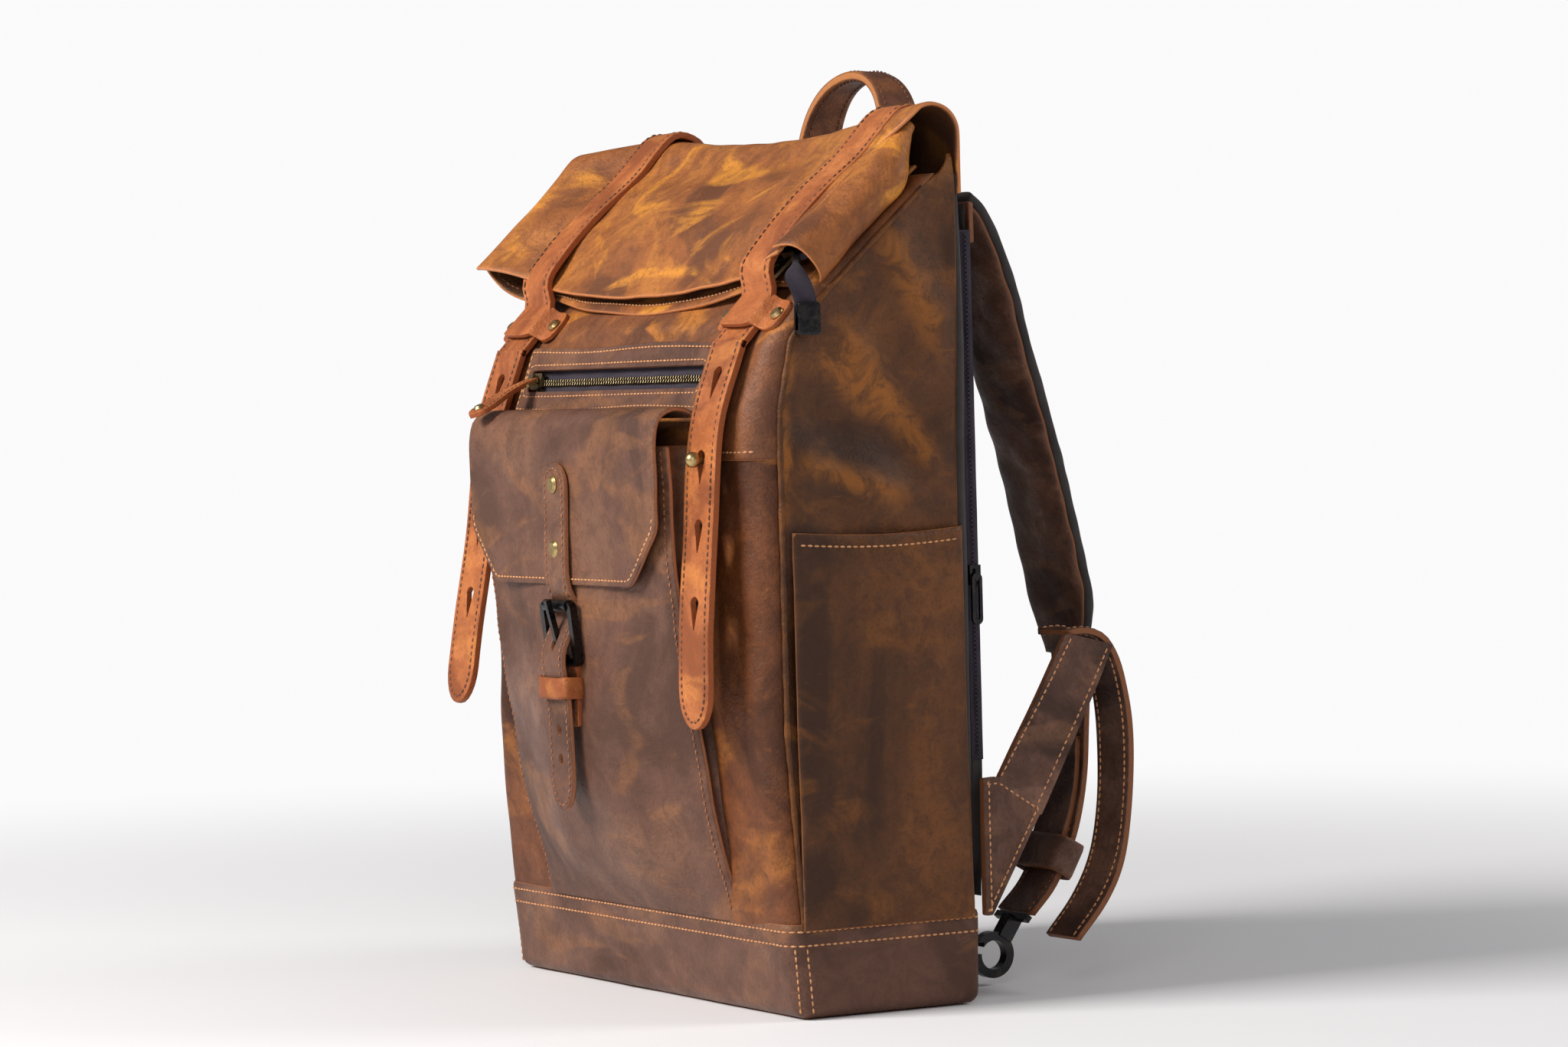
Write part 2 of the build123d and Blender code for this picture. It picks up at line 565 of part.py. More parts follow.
for name, middle in (("roll_outer_panel", ROLL_HALF - LEATHER / 2), ("roll_inner_panel", LEATHER / 2 - ROLL_HALF)):
    with BuildPart() as roll_panel:
        path = [roll_point(ROLL_START, middle), roll_point(ROLL_LENGTH, middle)]
        extrude(strip_face(path, LEATHER), amount=HALF_WIDTH, both=True)
    finish(roll_panel.part, name)

for side, sign in SIDES:
    with BuildPart() as roll_gusset:
        low, length = span(sign * (HALF_WIDTH - 1 - LEATHER), sign * (HALF_WIDTH - 1))
        inner = ROLL_HALF - LEATHER
        corners = [(ROLL_START, -inner), (ROLL_LENGTH - 1, -inner), (ROLL_LENGTH - 1, inner), (ROLL_START, inner)]
        extrude(side_face([roll_point(*corner) for corner in corners], low), amount=length)
    finish(roll_gusset.part, f"roll_gusset_{side}")

with BuildPart() as top_zip_tape:
    tape_path = [roll_point(ROLL_LENGTH - 12, LEATHER - ROLL_HALF), roll_point(ROLL_LENGTH - 12, ROLL_HALF - LEATHER)]
    extrude(strip_face(tape_path, 1.0), amount=HALF_WIDTH - 4, both=True)
    teeth_path = [roll_point(ROLL_LENGTH - 11.4, 0), roll_point(ROLL_LENGTH - 9.4, 0)]
    extrude(strip_face(teeth_path, 5.0), amount=HALF_WIDTH - 10, both=True)
finish(top_zip_tape.part, "top_zip_tape")

TOP_SLIDER_X = HALF_WIDTH - 24
with BuildPart() as top_zip_slider:
    low, length = span(TOP_SLIDER_X - 5, TOP_SLIDER_X + 5)
    plate = [roll_point(ROLL_LENGTH - 9.1, 0), roll_point(ROLL_LENGTH - 7.4, 0)]
    extrude(strip_face(plate, 8.0, low), amount=length)
    pull = [roll_point(ROLL_LENGTH - 7.5, 0), roll_point(ROLL_LENGTH + 8, 0)]
    extrude(strip_face(pull, 1.6, TOP_SLIDER_X - 3), amount=6)
finish(top_zip_slider.part, "top_zip_slider")

TAIL_X = HALF_WIDTH + 1.5
with BuildPart() as top_zip_clip:
    tail_tape = [roll_point(ROLL_LENGTH - 14, 2), roll_point(ROLL_LENGTH + 4, 0), (-40, 352)]
    extrude(strip_face(tail_tape, 11, TAIL_X), amount=1.6)
    clip_path = [(-39.6, 354), (-40.4, 336)]
    extrude(strip_face(clip_path, 12, TAIL_X - 1.2), amount=4)
finish(top_zip_clip.part, "top_zip_clip")

RIDGE_OUT = 13.4
with BuildPart() as ridge_leather:
    with BuildSketch(Plane.YZ):
        with Locations(RIDGE):
            Circle(RIDGE_OUT)
            Circle(RIDGE_OUT - LEATHER, mode=Mode.SUBTRACT)
        with Locations((RIDGE[0], RIDGE[1] - 10)):
            Rectangle(60, 20, mode=Mode.SUBTRACT)
        with Locations((RIDGE[0] + RIDGE_OUT - LEATHER / 2, (BODY_TOP + 0.3 + RIDGE[1]) / 2)):
            Rectangle(LEATHER, RIDGE[1] - BODY_TOP - 0.3)
    extrude(amount=HALF_WIDTH, both=True)
finish(ridge_leather.part, "ridge_leather")

# ---------------------------------------------------------------- closure straps, keepers and studs

TAIL_PIVOT = (-63.0, 336.0)
STRAP_OVER_ROLL = ROLL_HALF + 0.3 + STRAP_LEATHER / 2
STRAP_PATH = [
    roll_point(-6, RIDGE_OUT + 2.4),
    roll_point(6, RIDGE_OUT + 2.4),
    roll_point(26, STRAP_OVER_ROLL),
    roll_point(ROLL_LENGTH + 1.5, STRAP_OVER_ROLL + 0.4),
    (-48.2, 358),
    (TAIL_PIVOT[0] + 0.2, TAIL_PIVOT[1] + 0.6),
]
TAIL_PATH = [(TAIL_PIVOT[0] - 0.3, TAIL_PIVOT[1] - 1), (-76, 300), (-80, 277), (-84, 200), (-87, 144)]
STUD_Z = 277.0
HOLES_Z = (205, 243, STUD_Z, 318)
HOLE_RADIUS = 2.7
for side, sign in SIDES:
    low = sign * CLOSURE_STRAP_X - CLOSURE_STRAP_WIDTH / 2
    with BuildPart() as closure_strap:
        extrude(strip_face(STRAP_PATH, STRAP_LEATHER, low), amount=CLOSURE_STRAP_WIDTH)
    finish(closure_strap.part, f"closure_strap_{side}")
    with BuildPart() as closure_tail:
        extrude(strip_face(TAIL_PATH, STRAP_LEATHER, low), amount=CLOSURE_STRAP_WIDTH)
        fillet(closure_tail.edges().filter_by(Axis.Y, tolerance=8).group_by(Axis.Z)[0], 12)
        with BuildSketch(Plane.XZ):
            for z in HOLES_Z:
                with Locations((sign * CLOSURE_STRAP_X, z)):
                    Circle(HOLE_RADIUS)
                with Locations((sign * CLOSURE_STRAP_X, z + 4)):
                    Rectangle(1.6, 8)
        extrude(amount=120, both=True, mode=Mode.SUBTRACT)
    finish(closure_tail.part, f"closure_tail_{side}")

# Each keeper bridges its strap where the front leans back, below the hem
KEEPER_LOW = (-58.0, 335.0)
KEEPER_HIGH = (-38.0, 356.0)
KEEPER_MIDDLE = ((KEEPER_LOW[0] + KEEPER_HIGH[0]) / 2 - 0.4, (KEEPER_LOW[1] + KEEPER_HIGH[1]) / 2 + 0.4)
KEEPER_HEIGHT = 20.0
KEEPER_BRIDGE = 14.6  # from the panel to the outside of the bridge
KEEPER_OUTLINE = [
    (-29, 0), (-29, 2.6), (-20.5, 2.6), (-17.6, KEEPER_BRIDGE), (17.6, KEEPER_BRIDGE), (20.5, 2.6),
    (29, 2.6), (29, 0), (18.4, 0), (15.6, KEEPER_BRIDGE - 2.6), (-15.6, KEEPER_BRIDGE - 2.6), (-18.4, 0),
]
KEEPER_RIVET_X = 24.6
keeper_rise = (0, KEEPER_HIGH[0] - KEEPER_LOW[0], KEEPER_HIGH[1] - KEEPER_LOW[1])
for side, sign in SIDES:
    keeper_plane = Plane(origin=(sign * CLOSURE_STRAP_X, *KEEPER_MIDDLE), x_dir=(-1, 0, 0), z_dir=keeper_rise)
    with BuildPart() as strap_keeper:
        with BuildSketch(keeper_plane):
            with BuildLine():
                Polyline(*KEEPER_OUTLINE, close=True)
            make_face()
        extrude(amount=KEEPER_HEIGHT / 2, both=True)
    finish(strap_keeper.part, f"strap_keeper_{side}")

with BuildPart() as studs_and_rivets:
    for side, sign in SIDES:
        keeper_plane = Plane(origin=(sign * CLOSURE_STRAP_X, *KEEPER_MIDDLE), x_dir=(-1, 0, 0), z_dir=keeper_rise)
        for x in (-KEEPER_RIVET_X, KEEPER_RIVET_X):
            add(keeper_plane * Location((x, 2.6, 0), (-90, 0, 0)) * dome_rivet(3.8, 2.0))
        stud_x = sign * CLOSURE_STRAP_X
        with Locations(Location((stud_x, -74.2, STUD_Z), (90, 0, 0))):
            Cylinder(5, 2)
        with Locations(Location((stud_x, -79, STUD_Z), (90, 0, 0))):
            Cylinder(2.2, 9)
        with Locations((stud_x, -86, STUD_Z)):
            Sphere(4)
finish(studs_and_rivets.part, "studs_and_rivets")

# ---------------------------------------------------------------- shoulder straps

SHOULDER_X = 92.0
SHOULDER_WIDTH = 54.0
SHOULDER_THICKNESS = 10.0
SHOULDER_PATH = [(82, 408), (91, 392), (104, 360), (120, 300), (137, 240), (146, 200), (150, 168)]
ADJUSTER_WIDTH = 32.0
ADJUSTER_PATH = [(150.2, 167.5), (149, 130), (143, 85), (130, 56), (112, 36)]
TAIL_END_PATH = [(144.8, 126), (138.9, 86), (127, 60)]
LOOP_PATH = [(138, 72), (129, 57)]
HOOK_CENTRE = (97.0, 16.0)
HOOK_RADIUS = 12.0
HOOK_WIRE = 4.5
for side, sign in SIDES:
    with BuildPart() as shoulder_strap:
        low = sign * SHOULDER_X - SHOULDER_WIDTH / 2
        extrude(strip_face(SHOULDER_PATH, SHOULDER_THICKNESS, low), amount=SHOULDER_WIDTH)
        fillet(shoulder_strap.edges().filter_by(lambda edge: edge.length > 20 and edge.length < 53), 3)
    finish(shoulder_strap.part, f"shoulder_strap_{side}")

    with BuildPart() as adjuster_strap:
        low = sign * SHOULDER_X - ADJUSTER_WIDTH / 2
        extrude(strip_face(ADJUSTER_PATH, STRAP_LEATHER, low), amount=ADJUSTER_WIDTH)
        extrude(strip_face(TAIL_END_PATH, STRAP_LEATHER, low), amount=ADJUSTER_WIDTH)
        extrude(strip_face(LOOP_PATH, 14, low - 2.2), amount=ADJUSTER_WIDTH + 4.4)
    finish(adjuster_strap.part, f"adjuster_strap_{side}")

    with BuildPart() as snap_hook:
        with BuildSketch(Plane.YZ.offset(sign * SHOULDER_X)):
            with Locations(HOOK_CENTRE):
                Circle(HOOK_RADIUS)
                Circle(HOOK_RADIUS - HOOK_WIRE, mode=Mode.SUBTRACT)
            with Locations((HOOK_CENTRE[0] - HOOK_RADIUS, HOOK_CENTRE[1] + 4)):
                Rectangle(12, 6, mode=Mode.SUBTRACT)
        extrude(amount=3, both=True)
        barrel_path = [(HOOK_CENTRE[0] + 6.5, HOOK_CENTRE[1] + 8), (110.6, 34.4)]
        extrude(strip_face(barrel_path, 8, sign * SHOULDER_X - 4), amount=8)
        eye_path = [(109.6, 33.4), (113.2, 37.4)]
        extrude(strip_face(eye_path, 3.2, sign * SHOULDER_X - 15), amount=30)
        add(adjuster_strap.part, mode=Mode.SUBTRACT)
    finish(snap_hook.part, f"snap_hook_{side}")

# ---------------------------------------------------------------- lower straps

TAB_X = (HALF_WIDTH - 4.5, HALF_WIDTH - 1)
TAB_OUTLINE = [(56, 113), (63, 113), (91, 97), (60, 44), (56, 44)]
RUN_OUTLINE = [(62.6, 112), (91, 97), (138, 177), (110, 183)]
TURN_OUTLINE = [(108.6, 180), (136.6, 174), (138, 177), (110, 183)]
RETURN_PATH = [(121, 177), (138, 160), (147, 130), (145, 84), (128, 48), (112, 27)]
RETURN_X = (121.0, 150.0)
for side, sign in SIDES:
    with BuildPart() as lower_strap:
        low, length = span(sign * TAB_X[0], sign * TAB_X[1])
        extrude(side_face(TAB_OUTLINE, low), amount=length)
        extrude(side_face(RUN_OUTLINE, low), amount=length)
        low, length = span(sign * RETURN_X[0], sign * TAB_X[1])
        extrude(side_face(TURN_OUTLINE, low), amount=length)
        low, length = span(sign * RETURN_X[0], sign * RETURN_X[1])
        extrude(strip_face(RETURN_PATH, STRAP_LEATHER, low), amount=length)
    finish(lower_strap.part, f"lower_strap_{side}")
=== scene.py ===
"""The looks of the leather backpack: detailed leather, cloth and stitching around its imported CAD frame.

Lengths are in millimetres until a mesh is written. +X is to the right seen from the front, -Y is the front
and +Z is up.
"""
from math import cos, pi, radians, sin

import bmesh
import bpy
import numpy as np
from mathutils import Matrix, Vector

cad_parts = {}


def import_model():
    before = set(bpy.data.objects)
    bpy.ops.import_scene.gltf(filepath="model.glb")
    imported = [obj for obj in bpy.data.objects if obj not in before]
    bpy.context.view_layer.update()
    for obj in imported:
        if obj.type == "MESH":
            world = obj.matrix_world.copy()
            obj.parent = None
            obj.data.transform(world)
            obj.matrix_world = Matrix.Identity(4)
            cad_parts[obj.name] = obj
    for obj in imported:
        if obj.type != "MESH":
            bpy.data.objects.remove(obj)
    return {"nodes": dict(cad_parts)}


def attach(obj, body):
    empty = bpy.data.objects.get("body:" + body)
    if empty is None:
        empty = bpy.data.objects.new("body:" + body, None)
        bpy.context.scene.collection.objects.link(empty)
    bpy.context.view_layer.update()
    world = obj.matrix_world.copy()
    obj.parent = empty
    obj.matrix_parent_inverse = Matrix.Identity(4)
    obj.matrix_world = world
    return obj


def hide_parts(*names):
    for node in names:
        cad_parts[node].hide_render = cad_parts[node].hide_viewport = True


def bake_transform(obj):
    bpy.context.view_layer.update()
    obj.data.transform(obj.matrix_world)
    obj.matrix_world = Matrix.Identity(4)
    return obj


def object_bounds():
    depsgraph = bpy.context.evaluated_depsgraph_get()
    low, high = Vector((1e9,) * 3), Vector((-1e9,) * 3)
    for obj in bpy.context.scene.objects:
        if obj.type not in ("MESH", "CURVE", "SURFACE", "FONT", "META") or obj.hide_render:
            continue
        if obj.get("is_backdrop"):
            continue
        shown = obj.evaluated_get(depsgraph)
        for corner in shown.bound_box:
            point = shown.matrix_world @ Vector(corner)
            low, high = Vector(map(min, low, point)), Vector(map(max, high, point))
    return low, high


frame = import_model()
CAD_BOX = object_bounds()
NODES = frame["nodes"]
MM = 0.001

SIDES = (("left", -1), ("right", 1))
BAND_HEIGHT = 46.0
FRONT_SEAM = 278.0
LEATHER = 2.4
STRAP_LEATHER = 3.5
STRAP_X = 120.0
STRAP_WIDTH = 30.0
BACK_SEAM_Y = 48.0
BODY_TOP = 416.0


# ---------------------------------------------------------------- materials


class Graph:
    """A short way to write a node material."""

    def __init__(self, name):
        self.material = bpy.data.materials.new(name)
        self.material.use_nodes = True
        self.tree = self.material.node_tree
        self.shader = self.tree.nodes["Principled BSDF"]
        self.place = self.add("ShaderNodeTexCoord").outputs["Object"]

    def add(self, kind, inputs=None, **values):
        node = self.tree.nodes.new(kind)
        for key, value in values.items():
            setattr(node, key, value)
        for key, value in (inputs or {}).items():
            self.put(node.inputs[key], value)
        return node

    def put(self, socket, value):
        if isinstance(value, bpy.types.NodeSocket):
            self.tree.links.new(value, socket)
        else:
            socket.default_value = value

    def scaled(self, scale, turn=(0, 0, 0)):
        node = self.add("ShaderNodeMapping", {"Vector": self.place, "Scale": scale, "Rotation": turn})
        return node.outputs["Vector"]

    def noise(self, scale, detail=4.0, distortion=0.0, vector=None, rough=0.55):
        node = self.add("ShaderNodeTexNoise", {
            "Vector": vector or self.place, "Scale": scale, "Detail": detail,
            "Distortion": distortion, "Roughness": rough})
        return node.outputs["Fac"]

    def cells(self, scale, feature="F1"):
        node = self.add("ShaderNodeTexVoronoi", {"Vector": self.place, "Scale": scale}, feature=feature)
        return node.outputs["Distance"]

    def band(self, value, low, high, to_low=0.0, to_high=1.0):
        node = self.add("ShaderNodeMapRange", {
            "Value": value, "From Min": low, "From Max": high,
            "To Min": to_low, "To Max": to_high}, interpolation_type="SMOOTHSTEP")
        return node.outputs["Result"]

    def math(self, operation, a, b):
        node = self.add("ShaderNodeMath", operation=operation)
        self.put(node.inputs[0], a)
        self.put(node.inputs[1], b)
        return node.outputs[0]

    def mix(self, share, a, b, blend="MIX"):
        node = self.add("ShaderNodeMix", data_type="RGBA", blend_type=blend)
        self.put(node.inputs[0], share)
        self.put(node.inputs[6], a)
        self.put(node.inputs[7], b)
        return node.outputs[2]

    def attribute(self, name):
        return self.add("ShaderNodeAttribute", attribute_name=name).outputs["Fac"]

    def bump(self, height, strength, distance, below=None):
        inputs = {"Height": height, "Strength": strength, "Distance": distance}
        if below is not None:
            inputs["Normal"] = below
        return self.add("ShaderNodeBump", inputs).outputs["Normal"]


def colour(red, green, blue):
    return (red, green, blue, 1.0)


def leather_material(name, dark, mid, light, gold, gold_share, raw_edge, roughness=0.5, seed=0.0,
                     clouds=9.0):
    """Waxed pull-up leather: dark clouds, pale patches where it was pulled, scratches and raw edges."""
    g = Graph(name)
    moved = g.add("ShaderNodeVectorMath", operation="ADD")
    g.put(moved.inputs[0], g.place)
    moved.inputs[1].default_value = (seed, seed * 0.7, -seed)
    g.place = moved.outputs[0]
    cloud = g.noise(clouds, 5.0, 1.1, rough=0.6)
    base = g.mix(g.band(cloud, 0.38, 0.52), dark, mid)
    base = g.mix(g.band(cloud, 0.52, 0.64), base, light)
    pulled = g.noise(11.0, 4.0, 1.6, g.scaled((1.0, 1.0, 2.1), (0.5, 0.3, 0.4)), rough=0.5)
    base = g.mix(g.math("MULTIPLY", g.band(pulled, 0.54, 0.66), gold_share), base, gold)
    mottle = g.noise(64.0, 7.0, 0.8, rough=0.72)
    base = g.mix(g.band(mottle, 0.42, 0.66, 0.0, 0.55), base, dark)
    base = g.mix(g.band(mottle, 0.30, 0.44, 0.38, 0.0), base, light)
    speck = g.noise(460.0, 4.0, 0.0)
    base = g.mix(g.band(speck, 0.48, 0.72, 0.0, 0.42), base, dark)
    scratch = g.noise(24.0, 3.0, 1.6, g.scaled((1.0, 1.3, 7.0), (0.9, 0.8, 0.6)))
    scratch = g.math("MULTIPLY", g.band(scratch, 0.66, 0.76), g.band(mottle, 0.45, 0.60))
    base = g.mix(g.math("MULTIPLY", scratch, 0.25), base, gold)
    edge = g.attribute("edge")
    base = g.mix(g.band(edge, 0.45, 0.95), base, raw_edge)
    crease = g.band(g.attribute("crease"), 0.05, 1.0)
    worn = g.math("MULTIPLY", crease, g.band(mottle, 0.62, 0.40, 0.15, 0.75))
    base = g.mix(worn, base, gold)
    # painted shade: the flesh side inside the roll-top is coloured near black for the shadow there
    base = g.mix(g.band(g.attribute("inside"), 0.1, 1.0, 0.0, 0.85), base, FLESH_SIDE_PAINTED_SHADE)
    g.put(g.shader.inputs["Base Color"], base)
    g.put(g.shader.inputs["Roughness"], g.band(cloud, 0.3, 0.7, roughness + 0.10, roughness - 0.08))
    g.shader.inputs["IOR"].default_value = 1.46
    g.shader.inputs["Specular IOR Level"].default_value = 0.30
    pores = g.bump(g.cells(720.0), 0.30, 0.0006)
    folds = g.bump(g.noise(210.0, 6.0, 1.4, rough=0.7), 0.34, 0.0012, pores)
    stretched = g.scaled((1.0, 1.0, 1.8), (0.2, 0.5, 0.1))
    wrinkle = g.bump(g.noise(52.0, 5.0, 2.2, stretched, 0.6), 0.30, 0.0024, folds)
    g.put(g.shader.inputs["Normal"], wrinkle)
    return g.material


def cloth_material(name, base, second, weave=900.0, roughness=0.85, sheen=0.2):
    """A woven cloth with crossed threads and a little unevenness."""
    g = Graph(name)
    wave_a = g.add("ShaderNodeTexWave", {"Vector": g.place, "Scale": weave, "Distortion": 0.6},
                   bands_direction="DIAGONAL").outputs["Fac"]
    wave_b = g.add("ShaderNodeTexWave", {"Vector": g.scaled((1, -1, 1)), "Scale": weave, "Distortion": 0.6},
                   bands_direction="DIAGONAL").outputs["Fac"]
    threads = g.math("MAXIMUM", wave_a, wave_b)
    uneven = g.noise(60.0, 5.0)
    tint = g.mix(g.band(uneven, 0.3, 0.7), base, second)
    gaps = g.band(threads, 0.2, 1.0, 0.45, 0.0)
    g.put(g.shader.inputs["Base Color"], g.mix(gaps, tint, colour(0.004, 0.004, 0.004)))
    g.put(g.shader.inputs["Roughness"], g.band(uneven, 0.2, 0.8, roughness, roughness - 0.1))
    g.shader.inputs["Sheen Weight"].default_value = sheen
    g.put(g.shader.inputs["Normal"], g.bump(threads, 0.35, 0.0004, g.bump(uneven, 0.3, 0.002)))
    return g.material


def metal_material(name, bright, tarnish, roughness, amount):
    """Plated metal with tarnish and fine wear."""
    g = Graph(name)
    spots = g.noise(160.0, 6.0, 0.8, rough=0.7)
    g.put(g.shader.inputs["Base Color"], g.mix(g.band(spots, 0.4, 0.75, 0.0, amount), bright, tarnish))
    g.shader.inputs["Metallic"].default_value = 1.0
    g.put(g.shader.inputs["Roughness"], g.band(spots, 0.3, 0.8, roughness, roughness + 0.22))
    scratches = g.noise(500.0, 3.0, 0.0, g.scaled((1.0, 6.0, 1.0), (0.3, 0.8, 0.2)))
    g.put(g.shader.inputs["Normal"], g.bump(scratches, 0.08, 0.0003))
    return g.material


def thread_material(name, base, dark):
    """Twisted sewing thread."""
    g = Graph(name)
    twist = g.noise(900.0, 2.0)
    g.put(g.shader.inputs["Base Color"], g.mix(g.band(twist, 0.35, 0.65), dark, base))
    g.put(g.shader.inputs["Roughness"], g.band(g.noise(300.0), 0.3, 0.7, 0.62, 0.78))
    g.put(g.shader.inputs["Normal"], g.bump(twist, 0.4, 0.0003))
    return g.material


# A near-black colour for the leather's flesh side: painted shade inside the roll-top
FLESH_SIDE_PAINTED_SHADE = colour(0.026, 0.011, 0.006)
BODY_LEATHER = leather_material(
    "body_leather", colour(0.085, 0.030, 0.014), colour(0.190, 0.066, 0.024), colour(0.290, 0.100, 0.028),
    colour(0.520, 0.185, 0.026), 0.70, colour(0.42, 0.16, 0.05), 0.50)
SIDE_LEATHER = leather_material(
    "side_leather", colour(0.040, 0.014, 0.005), colour(0.092, 0.031, 0.008), colour(0.150, 0.050, 0.011),
    colour(0.320, 0.105, 0.012), 0.26, colour(0.35, 0.13, 0.04), 0.50, 3.1, 6.0)
FRONT_LEATHER = leather_material(
    "front_leather", colour(0.060, 0.018, 0.006), colour(0.150, 0.046, 0.014), colour(0.210, 0.070, 0.018),
    colour(0.380, 0.130, 0.022), 0.55, colour(0.35, 0.13, 0.04), 0.50, 4.2)
ROLL_LEATHER = leather_material(
    "roll_leather", colour(0.125, 0.042, 0.016), colour(0.290, 0.094, 0.024), colour(0.420, 0.150, 0.032),
    colour(0.640, 0.250, 0.030), 0.85, colour(0.50, 0.18, 0.06), 0.52, 1.7, 11.0)
POCKET_LEATHER = leather_material(
    "pocket_leather", colour(0.070, 0.030, 0.018), colour(0.125, 0.056, 0.036), colour(0.175, 0.080, 0.046),
    colour(0.330, 0.135, 0.045), 0.32, colour(0.34, 0.13, 0.06), 0.50, 5.3)
STRAP_LEATHER_LOOK = leather_material(
    "strap_leather", colour(0.230, 0.062, 0.018), colour(0.390, 0.116, 0.033), colour(0.500, 0.165, 0.048),
    colour(0.600, 0.220, 0.050), 0.50, colour(0.30, 0.075, 0.020), 0.52, 7.9, 18.0)
DARK_STRAP = leather_material(
    "dark_strap_leather", colour(0.045, 0.020, 0.013), colour(0.110, 0.050, 0.032),
    colour(0.180, 0.090, 0.060), colour(0.260, 0.120, 0.060), 0.35, colour(0.20, 0.070, 0.025),
    0.52, 9.4, 14.0)
PAD_FABRIC = cloth_material("pad_fabric", colour(0.016, 0.011, 0.010), colour(0.028, 0.019, 0.017),
                            sheen=0.08)
LINING = cloth_material("lining_fabric", colour(0.016, 0.014, 0.016), colour(0.026, 0.022, 0.024), 700.0)
ZIP_TAPE = cloth_material("zip_tape", colour(0.020, 0.012, 0.024), colour(0.030, 0.019, 0.034), 1100.0,
                          0.9, 0.05)
ZIP_METAL = metal_material("zip_metal", colour(0.27, 0.21, 0.12), colour(0.07, 0.05, 0.03), 0.30, 0.8)
BRASS = metal_material("brass", colour(0.50, 0.36, 0.16), colour(0.20, 0.13, 0.06), 0.26, 0.7)
BLACK_METAL = metal_material("black_metal", colour(0.030, 0.030, 0.033), colour(0.085, 0.070, 0.055),
                             0.20, 0.6)
BOARD = cloth_material("board", colour(0.10, 0.08, 0.06), colour(0.14, 0.11, 0.09), 400.0)
PALE_THREAD = thread_material("pale_thread", colour(0.68, 0.33, 0.15), colour(0.42, 0.18, 0.07))
TAN_THREAD = thread_material("tan_thread", colour(0.36, 0.14, 0.06), colour(0.15, 0.05, 0.02))
DARK_THREAD = thread_material("dark_thread", colour(0.16, 0.06, 0.03), colour(0.05, 0.02, 0.01))

# ---------------------------------------------------------------- shapes


def swell(points, size, seed):
    """A smooth pattern between about -1 and 1 that varies over a distance of about size."""
    rng = np.random.default_rng(seed)
    total = np.zeros(points.shape[:-1])
    for _ in range(7):
        direction = rng.normal(size=3)
        direction /= np.linalg.norm(direction)
        pace = 2 * pi / size * rng.uniform(0.6, 1.5)
        total += np.sin(points @ direction * pace + rng.uniform(0, 2 * pi))
    return total / 3.2


def smoothstep(value, low, high):
    t = np.clip((np.asarray(value, float) - low) / (high - low), 0, 1)
    return t * t * (3 - 2 * t)


def signed_power(value, power):
    """A sine or cosine made squarer: its size raised to a power, its sign kept."""
    return np.sign(value) * np.abs(value) ** power


def smooth_curve(points):
    """A smooth curve through every point."""
    pieces = 14
    p = np.asarray(points, float)
    p = np.vstack([2 * p[0] - p[1], p, 2 * p[-1] - p[-2]])
    out = []
    for a, b, c, d in zip(p, p[1:], p[2:], p[3:]):
        ab, bc, cd = (np.linalg.norm(v) ** 0.5 + 1e-9 for v in (b - a, c - b, d - c))
        m1 = (b - a) / ab - (c - a) / (ab + bc) + (c - b) / bc
        m2 = (c - b) / bc - (d - b) / (bc + cd) + (d - c) / cd
        for t in np.arange(pieces) / pieces:
            h00 = 2 * t ** 3 - 3 * t ** 2 + 1
            h10 = t ** 3 - 2 * t ** 2 + t
            h01 = -2 * t ** 3 + 3 * t ** 2
            h11 = t ** 3 - t ** 2
            out.append(h00 * b + h10 * m1 * bc + h01 * c + h11 * m2 * bc)
    out.append(p[-2])
    return np.array(out)


class Path:
    """A smooth path in an upright plane across X, measured along its length. Its normal is to its left."""

    def __init__(self, points, smooth=True):
        self.points = smooth_curve(points) if smooth else np.asarray(points, float)
        steps = np.linalg.norm(np.diff(self.points, axis=0), axis=1)
        self.along = np.concatenate([[0], np.cumsum(steps)])
        self.length = self.along[-1]
        tangent = np.gradient(self.points, axis=0)
        tangent /= np.linalg.norm(tangent, axis=1)[:, None] + 1e-12
        self.normal = np.stack([-tangent[:, 1], tangent[:, 0]], axis=1)

    def at(self, s):
        s = np.asarray(s, float)
        over = s - np.clip(s, 0, self.length)
        y = np.interp(s, self.along, self.points[:, 0])
        z = np.interp(s, self.along, self.points[:, 1])
        ny = np.interp(s, self.along, self.normal[:, 0])
        nz = np.interp(s, self.along, self.normal[:, 1])
        return y + over * nz, z - over * ny, ny, nz

    def place(self, x=0.0, flip=1.0):
        """A function that lays a flat piece (s along, w across, h above) on the path."""
        def put(s, w, h):
            y, z, ny, nz = self.at(s)
            return np.stack([x + w + 0 * y, y + flip * ny * h, z + flip * nz * h], axis=-1)
        return put


def new_object(name, mesh, material):
    obj = bpy.data.objects.new(name, mesh)
    bpy.context.scene.collection.objects.link(obj)
    mesh.materials.append(material)
    return obj


def set_values(mesh, name, values):
    attribute = mesh.attributes.new(name, "FLOAT", "POINT")
    attribute.data.foreach_set("value", np.asarray(values, np.float32).ravel())


def mesh_from(name, points, faces, material, edge=None, crease=None):
    mesh = bpy.data.meshes.new(name)
    mesh.from_pydata((np.asarray(points) * MM).tolist(), [], faces)
    mesh.update()
    mesh.shade_smooth()
    set_values(mesh, "edge", np.zeros(len(points)) if edge is None else edge)
    set_values(mesh, "crease", np.zeros(len(points)) if crease is None else crease)
    return new_object(name, mesh, material)


def settle(obj, body, slot, *replaced):
    """Parent a finished piece to its body's empty, or only bake its place when the body is a blend, and hide
    the CAD nodes that it stands for. Its slot is not used.
    """
    if isinstance(body, str):
        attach(obj, body)
    else:
        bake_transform(obj)
    if replaced:
        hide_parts(*replaced)
    return obj


